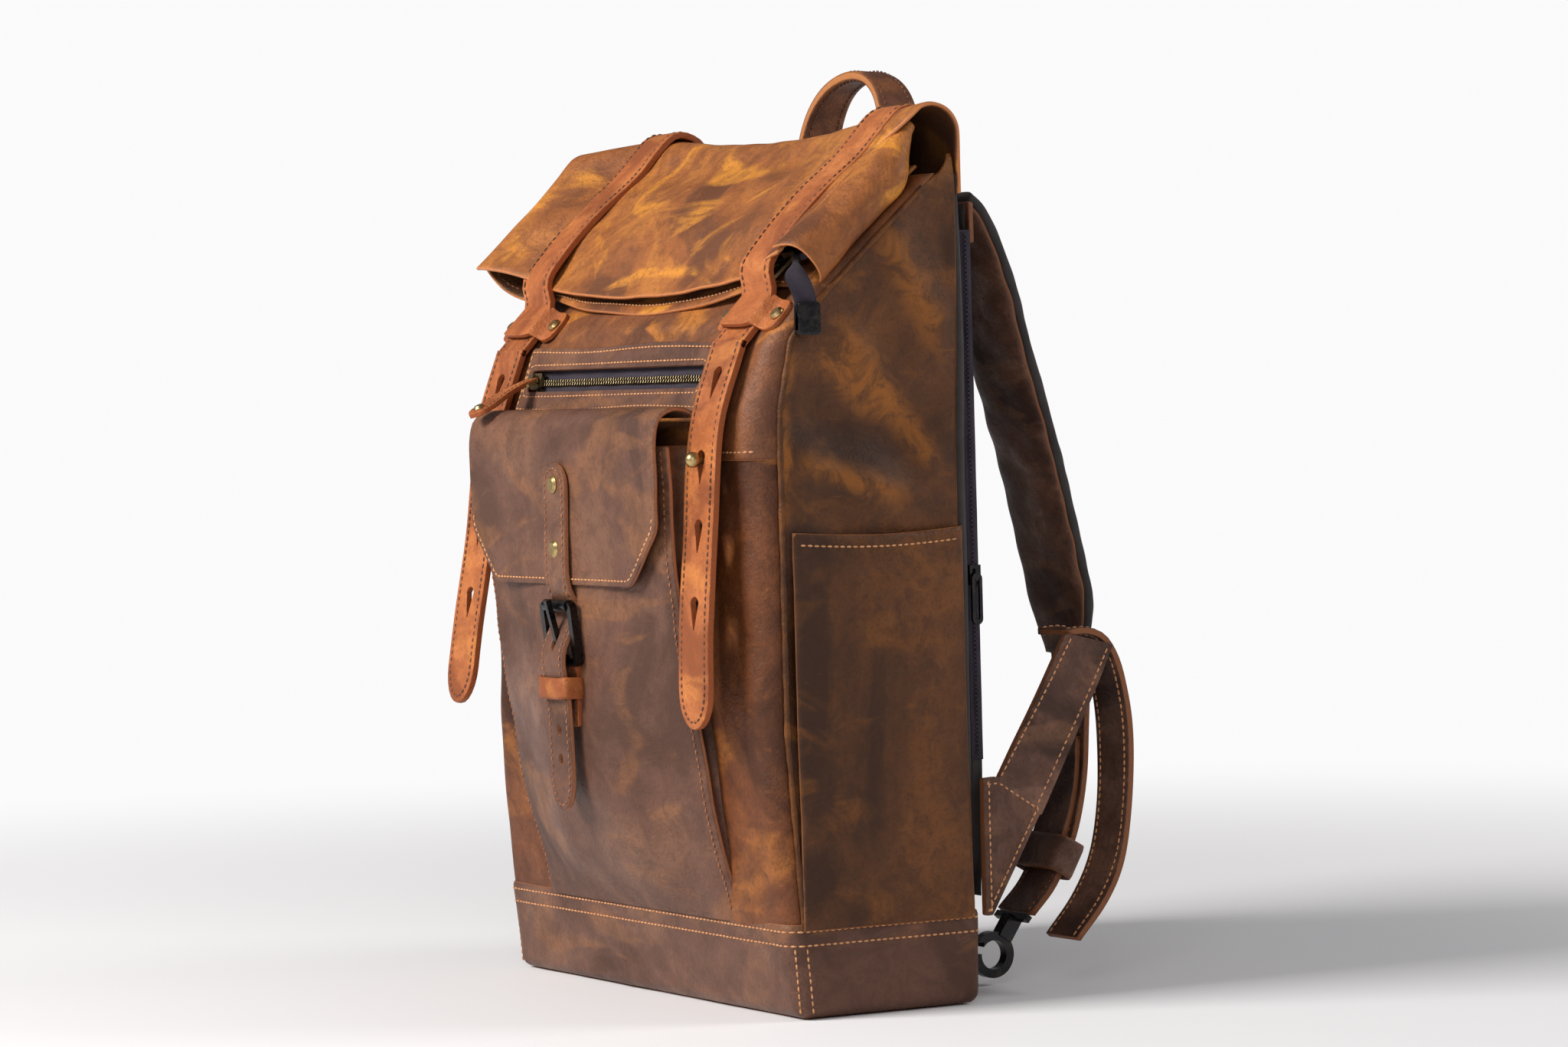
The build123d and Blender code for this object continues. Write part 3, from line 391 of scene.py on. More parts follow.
def flat_piece(name, outline, thickness, place, material, holes=(), cut=(4.0, 6.0), edge=0.6, wave=0.25,
               seed=1):
    """A piece of leather cut to a flat outline, its edges rounded, then laid in place."""
    bm = bmesh.new()
    rim = []
    for loop in (outline, *holes):
        ring = [bm.verts.new((x, y, -thickness / 2)) for x, y in loop]
        rim += [bm.edges.new((a, b)) for a, b in zip(ring, ring[1:] + ring[:1])]
    bmesh.ops.triangle_fill(bm, use_beauty=True, use_dissolve=False, edges=rim)
    raised = bmesh.ops.extrude_face_region(bm, geom=bm.faces[:])
    lifted = [v for v in raised["geom"] if isinstance(v, bmesh.types.BMVert)]
    bmesh.ops.translate(bm, verts=lifted, vec=(0, 0, thickness))
    bmesh.ops.recalc_face_normals(bm, faces=bm.faces[:])
    bmesh.ops.dissolve_limit(bm, angle_limit=0.01, verts=bm.verts[:], edges=bm.edges[:], delimit={"NORMAL"})
    sharp = [e for e in bm.edges if len(e.link_faces) == 2 and abs(e.verts[0].co.z - e.verts[1].co.z) < 1e-6
             and e.calc_face_angle(0) > 1.0]
    bmesh.ops.bevel(bm, geom=sharp, offset=edge, segments=2, profile=0.6, affect="EDGES", clamp_overlap=True)
    flat = np.array(outline)
    for axis, step in ((0, cut[0]), (1, cut[1])):
        low, high = flat[:, axis].min(), flat[:, axis].max()
        count = max(2, int(round((high - low) / step)))
        direction = (1, 0, 0) if axis == 0 else (0, 1, 0)
        for place_at in np.linspace(low, high, count + 1)[1:-1]:
            point = [0, 0, 0]
            point[axis] = place_at
            bmesh.ops.bisect_plane(bm, geom=bm.verts[:] + bm.edges[:] + bm.faces[:], dist=1e-4,
                                   plane_co=point, plane_no=direction)
    mesh = bpy.data.meshes.new(name)
    bm.to_mesh(mesh)
    bm.free()
    co = np.zeros(len(mesh.vertices) * 3)
    mesh.vertices.foreach_get("co", co)
    co = co.reshape(-1, 3)
    side = 1 - smoothstep(np.abs(co[:, 2]), thickness / 2 - edge, thickness / 2)
    placed = place(co[:, 0], co[:, 1], co[:, 2] + wave * swell(co * [1, 1, 0], 45.0, seed))
    mesh.vertices.foreach_set("co", (placed * MM).ravel())
    mesh.update()
    set_values(mesh, "edge", side)
    set_values(mesh, "crease", np.zeros(len(co)))
    mesh.shade_smooth()
    obj = new_object(name, mesh, material)
    modifier = obj.modifiers.new("normals", "WEIGHTED_NORMAL")
    modifier.keep_sharp = True
    return obj


def shell(name, outer, thickness, material, closed=False, crease=None, rim_drop=0.5, inside_out=False):
    """A sheet of even thickness on a grid of points, its rim rounded off.

    Inside out, the grid is the sheet's flesh side, coloured near black as painted shade.
    """
    outer = np.asarray(outer, float)
    nu, nv = outer.shape[:2]
    du = np.gradient(outer, axis=0)
    if closed:
        du = (np.roll(outer, -1, axis=0) - np.roll(outer, 1, axis=0)) / 2
    dv = np.gradient(outer, axis=1)
    normal = np.cross(du, dv)
    normal /= np.linalg.norm(normal, axis=2)[..., None] + 1e-12
    rim = np.zeros((nu, nv))
    rim[:, 0] = rim[:, -1] = 1
    if not closed:
        rim[0] = rim[-1] = 1
    top = outer - normal * (rim * rim_drop)[..., None]
    bottom = outer - normal * (thickness - rim * rim_drop)[..., None]
    points = np.concatenate([top.reshape(-1, 3), bottom.reshape(-1, 3)])
    count = nu * nv
    faces = []
    wrap = nu if closed else nu - 1
    for i in range(wrap):
        j = (i + 1) % nu
        for k in range(nv - 1):
            a, b, c, d = i * nv + k, j * nv + k, j * nv + k + 1, i * nv + k + 1
            faces.append((a, b, c, d))
            faces.append((d + count, c + count, b + count, a + count))
        faces.append((i * nv, i * nv + count, j * nv + count, j * nv))
        a, b = i * nv + nv - 1, j * nv + nv - 1
        faces.append((a, b, b + count, a + count))
    if not closed:
        for k in range(nv - 1):
            faces.append((k, k + 1, k + 1 + count, k + count))
            e = (nu - 1) * nv + k
            faces.append((e, e + count, e + 1 + count, e + 1))
    edge = np.concatenate([rim.ravel() * 0.75, rim.ravel()])
    worn = None
    if crease is not None:
        worn = np.concatenate([np.asarray(crease).ravel(), np.zeros(count)])
    obj = mesh_from(name, points, faces, material, edge, worn)
    if inside_out:
        # marks the flesh side, which the leather paints near black as shade
        set_values(obj.data, "inside", np.concatenate([1 - rim.ravel(), np.zeros(count)]))
    return obj


def grid(count_u, count_v, rule):
    """Points of a surface rule(u, v), with u and v from 0 to 1."""
    u, v = np.meshgrid(np.linspace(0, 1, count_u), np.linspace(0, 1, count_v), indexing="ij")
    return rule(u, v)


def resample(points, pitch, closed=False):
    """Evenly spaced places along a flat line, with the direction at each."""
    p = np.asarray(points, float)
    if closed:
        p = np.vstack([p, p[:1]])
    steps = np.linalg.norm(np.diff(p, axis=0), axis=1)
    along = np.concatenate([[0], np.cumsum(steps)])
    count = max(1, int(along[-1] / pitch))
    middle = (np.arange(count) + 0.5) * along[-1] / count
    at = np.stack([np.interp(middle, along, p[:, i]) for i in range(p.shape[1])], axis=1)
    ahead = np.stack([np.interp(middle + 0.4, along, p[:, i]) for i in range(p.shape[1])], axis=1)
    behind = np.stack([np.interp(middle - 0.4, along, p[:, i]) for i in range(p.shape[1])], axis=1)
    direction = ahead - behind
    return at, direction / (np.linalg.norm(direction, axis=1)[:, None] + 1e-12)


def stitching(name, lines, place, height, material, pitch=3.6, length=2.7, radius=0.55):
    """Rows of thread stitches. Each line is flat points, or (points, True) for a closed line."""
    rings, around = 5, 6
    points, faces = [], []
    for line in lines:
        closed = isinstance(line, tuple)
        at, direction = resample(line[0] if closed else line, pitch, closed)
        level = height + 0 * at[:, 0]
        ends = [place(*(at + direction * k * length / 2).T, level) for k in (-1, 1)]
        up = place(*at.T, height + 1.0 + 0 * at[:, 0]) - place(*at.T, level)
        for start, end, rise in zip(ends[0], ends[1], up):
            axis = end - start
            axis /= np.linalg.norm(axis) + 1e-12
            rise = rise - axis * (rise @ axis)
            rise /= np.linalg.norm(rise) + 1e-12
            across = np.cross(axis, rise)
            base = len(points)
            for ring in range(rings):
                t = ring / (rings - 1)
                size = radius * (0.35 + 0.65 * sin(pi * t) ** 0.6)
                sink = -0.45 * radius * (2 * t - 1) ** 2
                centre = start + (end - start) * t + rise * sink
                for k in range(around):
                    angle = 2 * pi * k / around
                    points.append(centre + size * (cos(angle) * across + sin(angle) * rise))
            for ring in range(rings - 1):
                for k in range(around):
                    a = base + ring * around + k
                    b = base + ring * around + (k + 1) % around
                    faces.append((a, b, b + around, a + around))
            faces.append(tuple(base + k for k in range(around))[::-1])
            last = base + (rings - 1) * around
            faces.append(tuple(last + k for k in range(around)))
    return mesh_from(name, points, faces, material)


def arc(cx, cy, radius, start, end, count=8):
    """Points on a circle, angles in degrees."""
    angles = [radians(a) for a in np.linspace(start, end, count)]
    return [(cx + radius * cos(a), cy + radius * sin(a)) for a in angles]


def box_outline(low_s, high_s, half):
    """A strap-like rectangle from low_s to high_s, as wide as twice half."""
    return [(low_s, -half), (high_s, -half), (high_s, half), (low_s, half)]


def edge_rows(start, end, half):
    """Two straight lines of stitches, half a width to each side of the middle."""
    return [np.array([(start, k * half), (end, k * half)]) for k in (-1, 1)]


def rounded(corners, radius):
    """An outline with every corner rounded. A corner may carry its own radius as a third value."""
    out = []
    n = len(corners)
    for i in range(n):
        here = np.array(corners[i][:2], float)
        r = corners[i][2] if len(corners[i]) > 2 else radius
        before = np.array(corners[i - 1][:2], float) - here
        after = np.array(corners[(i + 1) % n][:2], float) - here
        before /= np.linalg.norm(before)
        after /= np.linalg.norm(after)
        a, b = here + before * r, here + after * r
        for t in np.linspace(0, 1, 5):
            out.append(tuple((1 - t) ** 2 * a + 2 * t * (1 - t) * here + t * t * b))
    return out


def inset(outline, distance):
    """An outline moved inwards. It runs anticlockwise."""
    p = np.asarray(outline, float)
    ahead = np.roll(p, -1, axis=0) - p
    behind = p - np.roll(p, 1, axis=0)
    ahead /= np.linalg.norm(ahead, axis=1)[:, None] + 1e-12
    behind /= np.linalg.norm(behind, axis=1)[:, None] + 1e-12
    n1 = np.stack([-behind[:, 1], behind[:, 0]], axis=1)
    n2 = np.stack([-ahead[:, 1], ahead[:, 0]], axis=1)
    total = n1 + n2
    total /= np.maximum(np.sum(n1 * total, axis=1), 0.3)[:, None]
    moved = p + total * distance
    area = np.sum(p[:, 0] * np.roll(p[:, 1], -1) - np.roll(p[:, 0], -1) * p[:, 1])
    return moved if area > 0 else p - total * distance


def teardrop(s, w, radius, length):
    """A stud hole: a round end and a slit towards the tip of the strap."""
    round_end = arc(s, w, radius, 110, 250, 8)
    return [*round_end, (s + length, w - 0.5), (s + length, w + 0.5)]


def strap_outline(length, half, tip, tail):
    """A strap's flat outline. Its far end is rounded over the length tip, its near end over tail."""
    outline = arc(length - tip, 0, half, -90, 90, 13) if tip else [(length, -half), (length, half)]
    if tail:
        outline += arc(tail, 0, half, 90, 270, 13)[:-1]
    else:
        outline = [(0, -half)] + outline + [(0, half)]
    if tip and tip > half:
        start = length - tip
        outline = [(s if s < start else start + (s - start) * tip / half, w) for s, w in outline]
    return outline


def strap_rows(outline, length, half, margin, tip, tail):
    """The lines of stitches along a strap's edges, and round its rounded ends."""
    line = inset(outline, margin)
    if tail:
        return [(line, True)]
    if not tip:
        return [np.array([(0.5, w), (length - 0.5, w)]) for w in (margin - half, half - margin)]
    line[:, 0] = np.maximum(line[:, 0], 1.0)
    return [np.vstack([[0.5, margin - half], line[1:-1], [0.5, half - margin]])]


def strap(name, points, width, material, body, slot, replaced=(), x=0.0, flip=1.0, tip=None, tail=None,
          holes=(), thread=None, margin=3.4, thickness=STRAP_LEATHER, sides=(1,), reshape=None, wave=0.25,
          seed=1):
    """A leather strap along a path, with rounded ends and holes where asked, and stitched edges."""
    path = Path(points)
    half = width / 2
    lay = path.place(x, flip)

    def place(s, w, h):
        laid = lay(s, w, h)
        return reshape(laid) if reshape else laid
    outline = strap_outline(path.length, half, tip, tail)
    obj = flat_piece(name, outline, thickness, place, material, holes, (4.0, 7.5), wave=wave, seed=seed)
    settle(obj, body, slot, *replaced)
    if thread is not None:
        rows = strap_rows(outline, path.length, half, margin, tip, tail)
        for side in sides:
            sewn = stitching(f"{name}_stitching{'' if side > 0 else '_under'}", rows, place,
                             side * (thickness / 2 + 0.12), thread)
            settle(sewn, body, slot)


# ---------------------------------------------------------------- the bag's wall

# Each row: Z, front Y, back Y, half width, front corner radius.
SECTIONS = np.array([
    (0, -50.5, 50.5, 153, 5),
    (46, -57, 52, 153, 8),
    (140, -68, 54, 150, 14),
    (285, -73, 54, 150, 19),
    (300, -71, 54, 151, 17),
    (335, -58, 54, 153, 10),
    (356, -38, 53, 154, 8),
    (416, 31, 51, 155, 5)], float)
BACK_RADIUS = 4.0
FINE_Z = np.arange(-40.0, 461.0)
KERNEL = np.hanning(33) / np.hanning(33).sum()
FINE = []
for column in range(1, 5):
    straight = np.interp(FINE_Z, SECTIONS[:, 0], SECTIONS[:, column])
    ends = (FINE_Z < 20) | (FINE_Z > 400)
    soft = np.convolve(np.pad(straight, 16, mode="edge"), KERNEL, mode="valid")
    FINE.append(np.where(ends, straight, soft))
SEAM_Z = (46, 140, 300, 335, 356, 416)
SEAM_Y = (-49, -54, -54, -48, -30, 36)


def section(z):
    """Front Y, back Y, half width and front corner radius of the body at a height."""
    return tuple(np.interp(z, FINE_Z, column) for column in FINE)


def seam_y(z):
    return np.interp(z, SEAM_Z, SEAM_Y)


def along_wall(y, z):
    """Distance round the wall from the middle of the front to the side point at Y."""
    front, _, half, radius = section(z)
    return half - radius + radius * pi / 2 + (y - front - radius)


def wall(p, z, h):
    """A point of the bag's wall: p round from the middle of the front, z up, h outwards."""
    p, z, h = np.broadcast_arrays(np.asarray(p, float), z, h)
    front, back, half, radius = section(z)
    sign = np.sign(p) + (p == 0)
    a = np.abs(p)
    flat = half - radius
    side_start = flat + radius * pi / 2
    side_end = side_start + (back - BACK_RADIUS) - (front + radius)
    back_start = side_end + BACK_RADIUS * pi / 2
    turn = np.clip((a - flat) / radius, 0, pi / 2)
    turn_back = np.clip((a - side_end) / BACK_RADIUS, 0, pi / 2)
    angle = turn + turn_back
    x = np.minimum(a, flat) + radius * np.sin(turn)
    x = x - BACK_RADIUS * (1 - np.cos(turn_back)) - np.maximum(a - back_start, 0)
    y = front + radius * (1 - np.cos(turn)) + np.clip(a - side_start, 0, side_end - side_start)
    y = y + BACK_RADIUS * np.sin(turn_back)
    return np.stack([sign * (x + h * np.sin(angle)), y - h * np.cos(angle), z + 0 * x], axis=-1)


def fold(y, z, y0, z0, y1, z1, width, height):
    """A rounded crease from one (Y, Z) point of a side panel to another, fading at its ends."""
    dy, dz = y1 - y0, z1 - z0
    length2 = dy * dy + dz * dz
    t = ((y - y0) * dy + (z - z0) * dz) / length2
    off = ((y - y0) * -dz + (z - z0) * dy) / length2 ** 0.5
    ends = smoothstep(t, -0.15, 0.2) * (1 - smoothstep(t, 0.75, 1.15))
    return height * np.exp(-(off / width) ** 2) * ends


# Each row: Y and Z of both ends, width, height.
SIDE_FOLDS = (
    (-50, 276, 20, 254, 11, 5.0),
    (-46, 306, 34, 284, 20, -6.0),
    (-24, 346, 44, 262, 12, 2.4),
    (4, 392, 42, 322, 14, 3.0),
    (-34, 330, 6, 296, 12, 2.0),
)


def side_shape(y, z):
    """How far the side gusset stands out, with its creases."""
    total = 0
    for crease in SIDE_FOLDS:
        total = total + fold(y, z, *crease)
    return total


def side_worn(y, z):
    """Where the creases of the side gusset are rubbed pale."""
    total = 0
    for crease in SIDE_FOLDS:
        if crease[5] > 0:
            total = total + fold(y, z, *crease[:4], crease[4] * 0.8, 0.75)
    corner = np.exp(-((y - seam_y(z)) / 7.0) ** 2) * smoothstep(z, 230, 262) * (1 - smoothstep(z, 325, 350))
    top = smoothstep(z, 385, 425) * 0.5
    return np.clip(total + 0.9 * corner + top, 0, 1)


def front_shape(points):
    """The soft unevenness of the front panels."""
    middle = np.cos(np.clip(points[..., 0] / 160, -1, 1) * pi / 2)
    return 1.6 * swell(points, 120.0, 11) + 0.5 * swell(points, 45.0, 12) + 1.5 * middle - 1.0


def zip_clear(x, z):
    """How far the upper front is drawn in behind the zip's facing, and deeper behind its slot."""
    facing = smoothstep(-np.abs(x), -114, -104) * smoothstep(z, 290, 297) * (1 - smoothstep(z, 337, 344))
    slot = smoothstep(-np.abs(x), -98, -95) * smoothstep(z, 307, 310) * (1 - smoothstep(z, 325, 328))
    return facing, slot


def upper_shape(flat, z):
    """How far the upper front stands out."""
    facing, slot = zip_clear(flat[..., 0], z)
    return (1.0 + front_shape(flat)) * (1 - facing) - 1.4 * facing - 6.0 * slot


def lower_front():
    """The lower front panel, tucked 4 mm under the base band and the seam."""
    low, high = BAND_HEIGHT - 4, FRONT_SEAM + 4

    def rule(u, v):
        z = low + (high - low) * v
        p = (2 * u - 1) * along_wall(seam_y(z), z)
        flat = wall(p, z, 0)
        edge = np.minimum(1, np.minimum(u, 1 - u) * 22)
        return wall(p, z, front_shape(flat) * edge)
    obj = shell("front_panel_lower_leather", grid(150, int((high - low) / 2.6), rule), LEATHER, FRONT_LEATHER)
    settle(obj, "root", "body_leather", "front_panel_lower")


lower_front()


def upper_front():
    """The upper front panel, with its zip drawn in and the seam below it."""
    def rule(u, v):
        z = FRONT_SEAM - 2 + (BODY_TOP - FRONT_SEAM + 2) * v
        p = (2 * u - 1) * along_wall(seam_y(z), z)
        flat = wall(p, z, 0)
        edge = np.minimum(1, np.minimum(u, 1 - u) * 22)
        return wall(p, z, upper_shape(flat, z) * edge + 0.3)
    settle(shell("front_panel_upper_leather", grid(220, 80, rule), LEATHER, BODY_LEATHER),
           "root", "body_leather", "front_panel_upper")

    def on_seam(s, w, h):
        flat = wall(s, w, 0)
        return wall(s, w, h + 1.0 + front_shape(flat))
    line = np.array([(s, FRONT_SEAM + 2.2) for s in np.linspace(-148, 148, 60)])
    settle(stitching("front_seam_stitching", [line], on_seam, 0.4, PALE_THREAD), "root", "body_leather")


upper_front()


SIDE_TOP = 426.0


def side_gusset(name, sign):
    """One side of the bag, from the base band to the roll-top."""
    u, v = np.meshgrid(np.linspace(0, 1, 48), np.linspace(0, 1, 160), indexing="ij")
    z = BAND_HEIGHT - 4 + (SIDE_TOP - BAND_HEIGHT + 4) * v
    front = seam_y(z) + 9.0 * smoothstep(z, 408, 426)
    y = front + (BACK_SEAM_Y - front) * u
    low = np.minimum(z, BODY_TOP)
    p = along_wall(y, low)
    flat = wall(p, low, 0)
    flat[..., 2] = z
    hold = np.minimum(1, np.minimum(u, 1 - u) * 9) * (1 - 0.8 * smoothstep(z, 380, 430))
    h = side_shape(y, z) + 1.4 * swell(flat, 90.0, 21) + 0.7 * swell(flat, 38.0, 22)
    h = h * hold - 3.5 * smoothstep(z, 405, 440)
    points = wall(p, low, h)
    points[..., 2] = z
    points = points * [sign, 1, 1]
    if sign < 0:
        points = points[::-1]
        y = y[::-1]
    obj = shell(f"{name}_leather", points, LEATHER, SIDE_LEATHER, crease=side_worn(y, z))
    settle(obj, "root", "body_leather", name)


def piping(name, sign):
    """The raised seam between the front and the side."""
    z = np.linspace(BAND_HEIGHT, 409, 150)
    centre = wall(along_wall(seam_y(z), z), z, 0.6) * [sign, 1, 1]
    around = 10
    angles = np.linspace(0, 2 * pi, around, endpoint=False)
    tangent = np.gradient(centre, axis=0)
    tangent /= np.linalg.norm(tangent, axis=1)[:, None]
    out = np.cross(tangent, [0, -1, 0.2])
    out /= np.linalg.norm(out, axis=1)[:, None]
    other = np.cross(tangent, out)
    size = 1.5 + 0.25 * np.sin(z / 7.0) * np.sin(z / 3.1)
    ring = np.stack([centre + size[:, None] * (cos(a) * out + sin(a) * other) for a in angles], axis=0)
    points = ring.reshape(-1, 3)
    n = len(z)
    faces = []
    for i in range(around):
        j = (i + 1) % around
        for k in range(n - 1):
            faces.append((i * n + k, i * n + k + 1, j * n + k + 1, j * n + k))
    faces.append(tuple(i * n for i in range(around)))
    faces.append(tuple(i * n + n - 1 for i in range(around))[::-1])
    worn = np.full(len(points), 0.35)
    settle(mesh_from(name, points, faces, SIDE_LEATHER, crease=worn), "root", "body_leather")


for side, sign in SIDES:
    side_gusset(f"side_gusset_{side}", sign)
    piping(f"corner_piping_{side}", sign)


def back_panel():
    """The flat back, drawn as one half and mirrored."""
    def rule(u, v):
        z = BAND_HEIGHT - 4 + (BODY_TOP + 4 - BAND_HEIGHT) * v
        start = along_wall(BACK_SEAM_Y, z)
        half = section(z)[2]
        reach = start + (half + 4)
        p = start + (reach - start) * u
        return wall(p, z, 0.4 * swell(wall(p, z, 0), 70.0, 31))
    right = grid(70, 90, rule)
    left = right[::-1] * [-1, 1, 1]
    points = np.concatenate([right[:-3], left[3:]], axis=0)
    settle(shell("back_panel_fabric", points, LEATHER, PAD_FABRIC), "root", "lining_fabric", "back_panel")


back_panel()


def base_band():
    """The band round the foot, with its two rows and its corner seams, and the bottom panel."""
    def rule(u, v):
        z = 0.6 + (BAND_HEIGHT + 1.5 - 0.6) * v
        half = section(z)[2]
        total = along_wall(BACK_SEAM_Y, z) + 9 + half
        p = (2 * u - 1) * total
        foot = -3.2 * (1 - smoothstep(z, 0, 7)) ** 2
        flat = wall(p, z, 0)
        return wall(p, z, 1.5 + foot + 0.35 * swell(flat, 60.0, 41))
    points = grid(380, 26, rule)
    band = shell("base_band_leather", points, LEATHER, POCKET_LEATHER, rim_drop=0.7)
    settle(band, "root", "body_leather", "base_band")

    def on_band(s, w, h):
        return wall(s, w, h + 1.5 + 0.35 * swell(wall(s, w, 0), 60.0, 41))
    rows = [np.array([(s, BAND_HEIGHT - drop) for s in np.linspace(-258, 258, 120)])
            for drop in (2.0, 9.0)]
    corner = along_wall(-50.0, 20.0)
    rows += [np.array([(k * (corner + gap), 3.0), (k * (corner + gap + 1), BAND_HEIGHT - 10)])
             for k in (-1, 1) for gap in (-2.5, 2.5)]
    settle(stitching("base_band_stitching", rows, on_band, 0.12, PALE_THREAD), "root", "body_leather")

    def under(u, v):
        x = (2 * u - 1) * 150
        y = (2 * v - 1) * 48
        dip = 0.8 * (1 - (2 * u - 1) ** 8) * (1 - (2 * v - 1) ** 8)
        return np.stack([x, y, 0.4 + dip], axis=-1)[:, ::-1]
    bottom = shell("bottom_leather", grid(60, 24, under), LEATHER, POCKET_LEATHER)
    settle(bottom, "root", "body_leather", "bottom_panel")


base_band()


def side_pocket(name, sign):
    """An open pocket on the side: fuller in its middle, with a sagging hem."""
    top, low = 240.0, BAND_HEIGHT - 2.0

    def h_at(y, z):
        rise = smoothstep(z, BAND_HEIGHT, 110) * (1 - 0.35 * smoothstep(z, 210, 240))
        across = np.clip(1 - ((y + 0.5) / 50.0) ** 2, 0, 1) ** 0.55
        flat = np.stack([y * 0, y, z], axis=-1)
        soft = 0.8 * swell(flat, 75.0, 51 + sign) + 0.4 * swell(flat, 30.0, 53)
        return 2.6 + 3.8 * rise * across + soft * across

    def place(y, z, h):
        return wall(along_wall(y, z), z, h_at(y, z) + h) * [sign, 1, 1]

    def rule(u, v):
        z = low + (top - low) * v
        y = -49.5 + 98.0 * u
        bend = 2.2 * np.sin(pi * u) * smoothstep(v, 0.6, 1.0)
        return place(y, z - bend, 0)
    points = grid(50, 86, rule)
    if sign < 0:
        points = points[::-1]
    settle(shell(f"{name}_leather", points, LEATHER, SIDE_LEATHER), "root", "body_leather", name)

    def hem(s, w, h):
        return place(s, w - 2.2 * np.sin(pi * (s + 49.5) / 98.0), h)
    rows = [np.array([(y, top - 6.0) for y in np.linspace(-46, 45, 30)])]
    settle(stitching(f"{name}_stitching", rows, hem, 0.12, PALE_THREAD), "root", "body_leather")


for side, sign in SIDES:
    side_pocket(f"side_pocket_{side}", sign)


# ---------------------------------------------------------------- roll-top

# The ridge's (Y, Z), the ways down the rolled sleeve and out of it, and the distance down to its free edge.
RIDGE = np.array((36.0, 436.0))
DOWN = np.array((-0.755, -0.656))
OUT = np.array((-0.656, 0.755))
HEM = 100.7
ROLL_BLEND = ("root", "roll_top", (0, 0.050, 0.436), (0, 0.022, 0.436))


def roll_point(along, out):
    """The (Y, Z) of a place on the sleeve."""
    return tuple(RIDGE + along * DOWN + out * OUT)


def high_left(z, along):
    """The part of the roll that flares at the left: all of it but the plate sewn to the back."""
    return np.maximum(smoothstep(z, 418, 436), smoothstep(along, -4, 9))


def sag(points):
    """The top droops in its middle, and the free end hangs lower there and flares at the left."""
    x, y, z = points[..., 0], points[..., 1], points[..., 2]
    middle = np.clip(1 - (x / 152) ** 2, 0, 1) ** 1.2
    along = (y - RIDGE[0]) * DOWN[0] + (z - RIDGE[1]) * DOWN[1]
    high = smoothstep(z, 408, 440)
    end = smoothstep(along, 20, HEM)
    left = smoothstep(-x, 122, 156) * high_left(z, along)
    dz = -12.0 * middle * high * (1 - 0.55 * end) - 13.0 * middle * end - (9.0 - 11.0 * end) * left
    dy = -7.0 * middle * end - (26.0 - 15.0 * end) * left
    return np.stack([x - 14.5 * left, y + dy, z + dz], axis=-1)


def ridge_path(radius, out, end):
    """The (Y, Z) line up the back, over the ridge and down to the free edge."""
    angles = np.radians(np.linspace(0, 120, 10))
    ring = [(RIDGE[0] + radius * cos(a), RIDGE[1] + radius * sin(a)) for a in angles]
    back = [(RIDGE[0] + radius, 406), (RIDGE[0] + radius, 422)]
    front = [roll_point(14, out + 1.5), roll_point(32, out), roll_point(60, out), roll_point(end, out)]
    return back + ring + front


def roll_skin():
    """The sleeve's outer and inner leather, pressed together at the hem except near the right mouth."""
    outer_path = Path(ridge_path(13.4, 10.0, HEM))
    ring_end = outer_path.length - HEM

    def wrinkles(points, s):
        drape = smoothstep(s, 40, 80)
        calm = 1 - 0.75 * smoothstep(s - ring_end, 66, 98)
        return (1.8 * swell(points, 80.0, 61) + 0.8 * swell(points, 34.0, 62)) * drape * calm

    def place(s, w, h):
        y, z, ny, nz = outer_path.at(s)
        x = w + 0 * y
        flat = np.stack([x, y, z], axis=-1)
        shut = smoothstep(s - ring_end, 62, HEM) * (1 - smoothstep(np.abs(x), 108, 143))
        height = -h + 0 * y - wrinkles(flat, s) * np.clip((150 - np.abs(x)) / 14, 0.15, 1) + 7.6 * shut
        return sag(np.stack([x, y + ny * height, z + nz * height], axis=-1))

    def reach(s):
        return 155.0 - 13.0 * smoothstep(s - ring_end, -2, 26)

    def rule(u, v):
        s = outer_path.length * v
        return place(s, -156.0 + (156.0 + reach(s)) * u, 0)
    points = grid(130, 84, rule)
    # inside_out: its flesh side gets the near-black painted shade
    obj = shell("roll_outer_leather", points, LEATHER, ROLL_LEATHER, inside_out=True)
    settle(obj, ROLL_BLEND, "body_leather", "roll_outer_panel", "ridge_leather")
    hem = outer_path.length
    rows = [np.array([(hem - 4.5, w) for w in np.linspace(-153, 140, 60)])]
    rows.append(np.array([(ring_end + 30, 139.6), (hem - 3, 139.6)]))
    settle(stitching("roll_hem_stitching", rows, place, 0.12, PALE_THREAD), ROLL_BLEND, "body_leather")

    inner_path = Path([roll_point(a, -9.0) for a in (12, 30, 60, 85, HEM - 1)])

    def inner_place(s, w, h):
        y, z, ny, nz = inner_path.at(s)
        flat = np.stack([w + 0 * y, y, z], axis=-1)
        shut = smoothstep(s, 50, 88) * (1 - smoothstep(np.abs(w), 108, 143))
        height = -h + 0.8 * swell(flat, 60.0, 65) - 6.0 * shut
        return sag(np.stack([w + 0 * y, y + ny * height, z + nz * height], axis=-1))

    def inner_rule(u, v):
        return inner_place(inner_path.length * v + 5.0 * v * np.sin(pi * u), (2 * u - 1) * 142.0, 0)
    settle(shell("roll_inner_leather", grid(110, 40, inner_rule)[::-1], LEATHER, ROLL_LEATHER),
           "roll_top", "body_leather", "roll_inner_panel")
    rows = [np.array([(inner_path.length - 1.0, w) for w in np.linspace(-132, 132, 60)])]
    sewn = stitching("roll_inner_stitching", rows, inner_place, 0.3, PALE_THREAD)
    settle(sewn, "roll_top", "body_leather")


roll_skin()


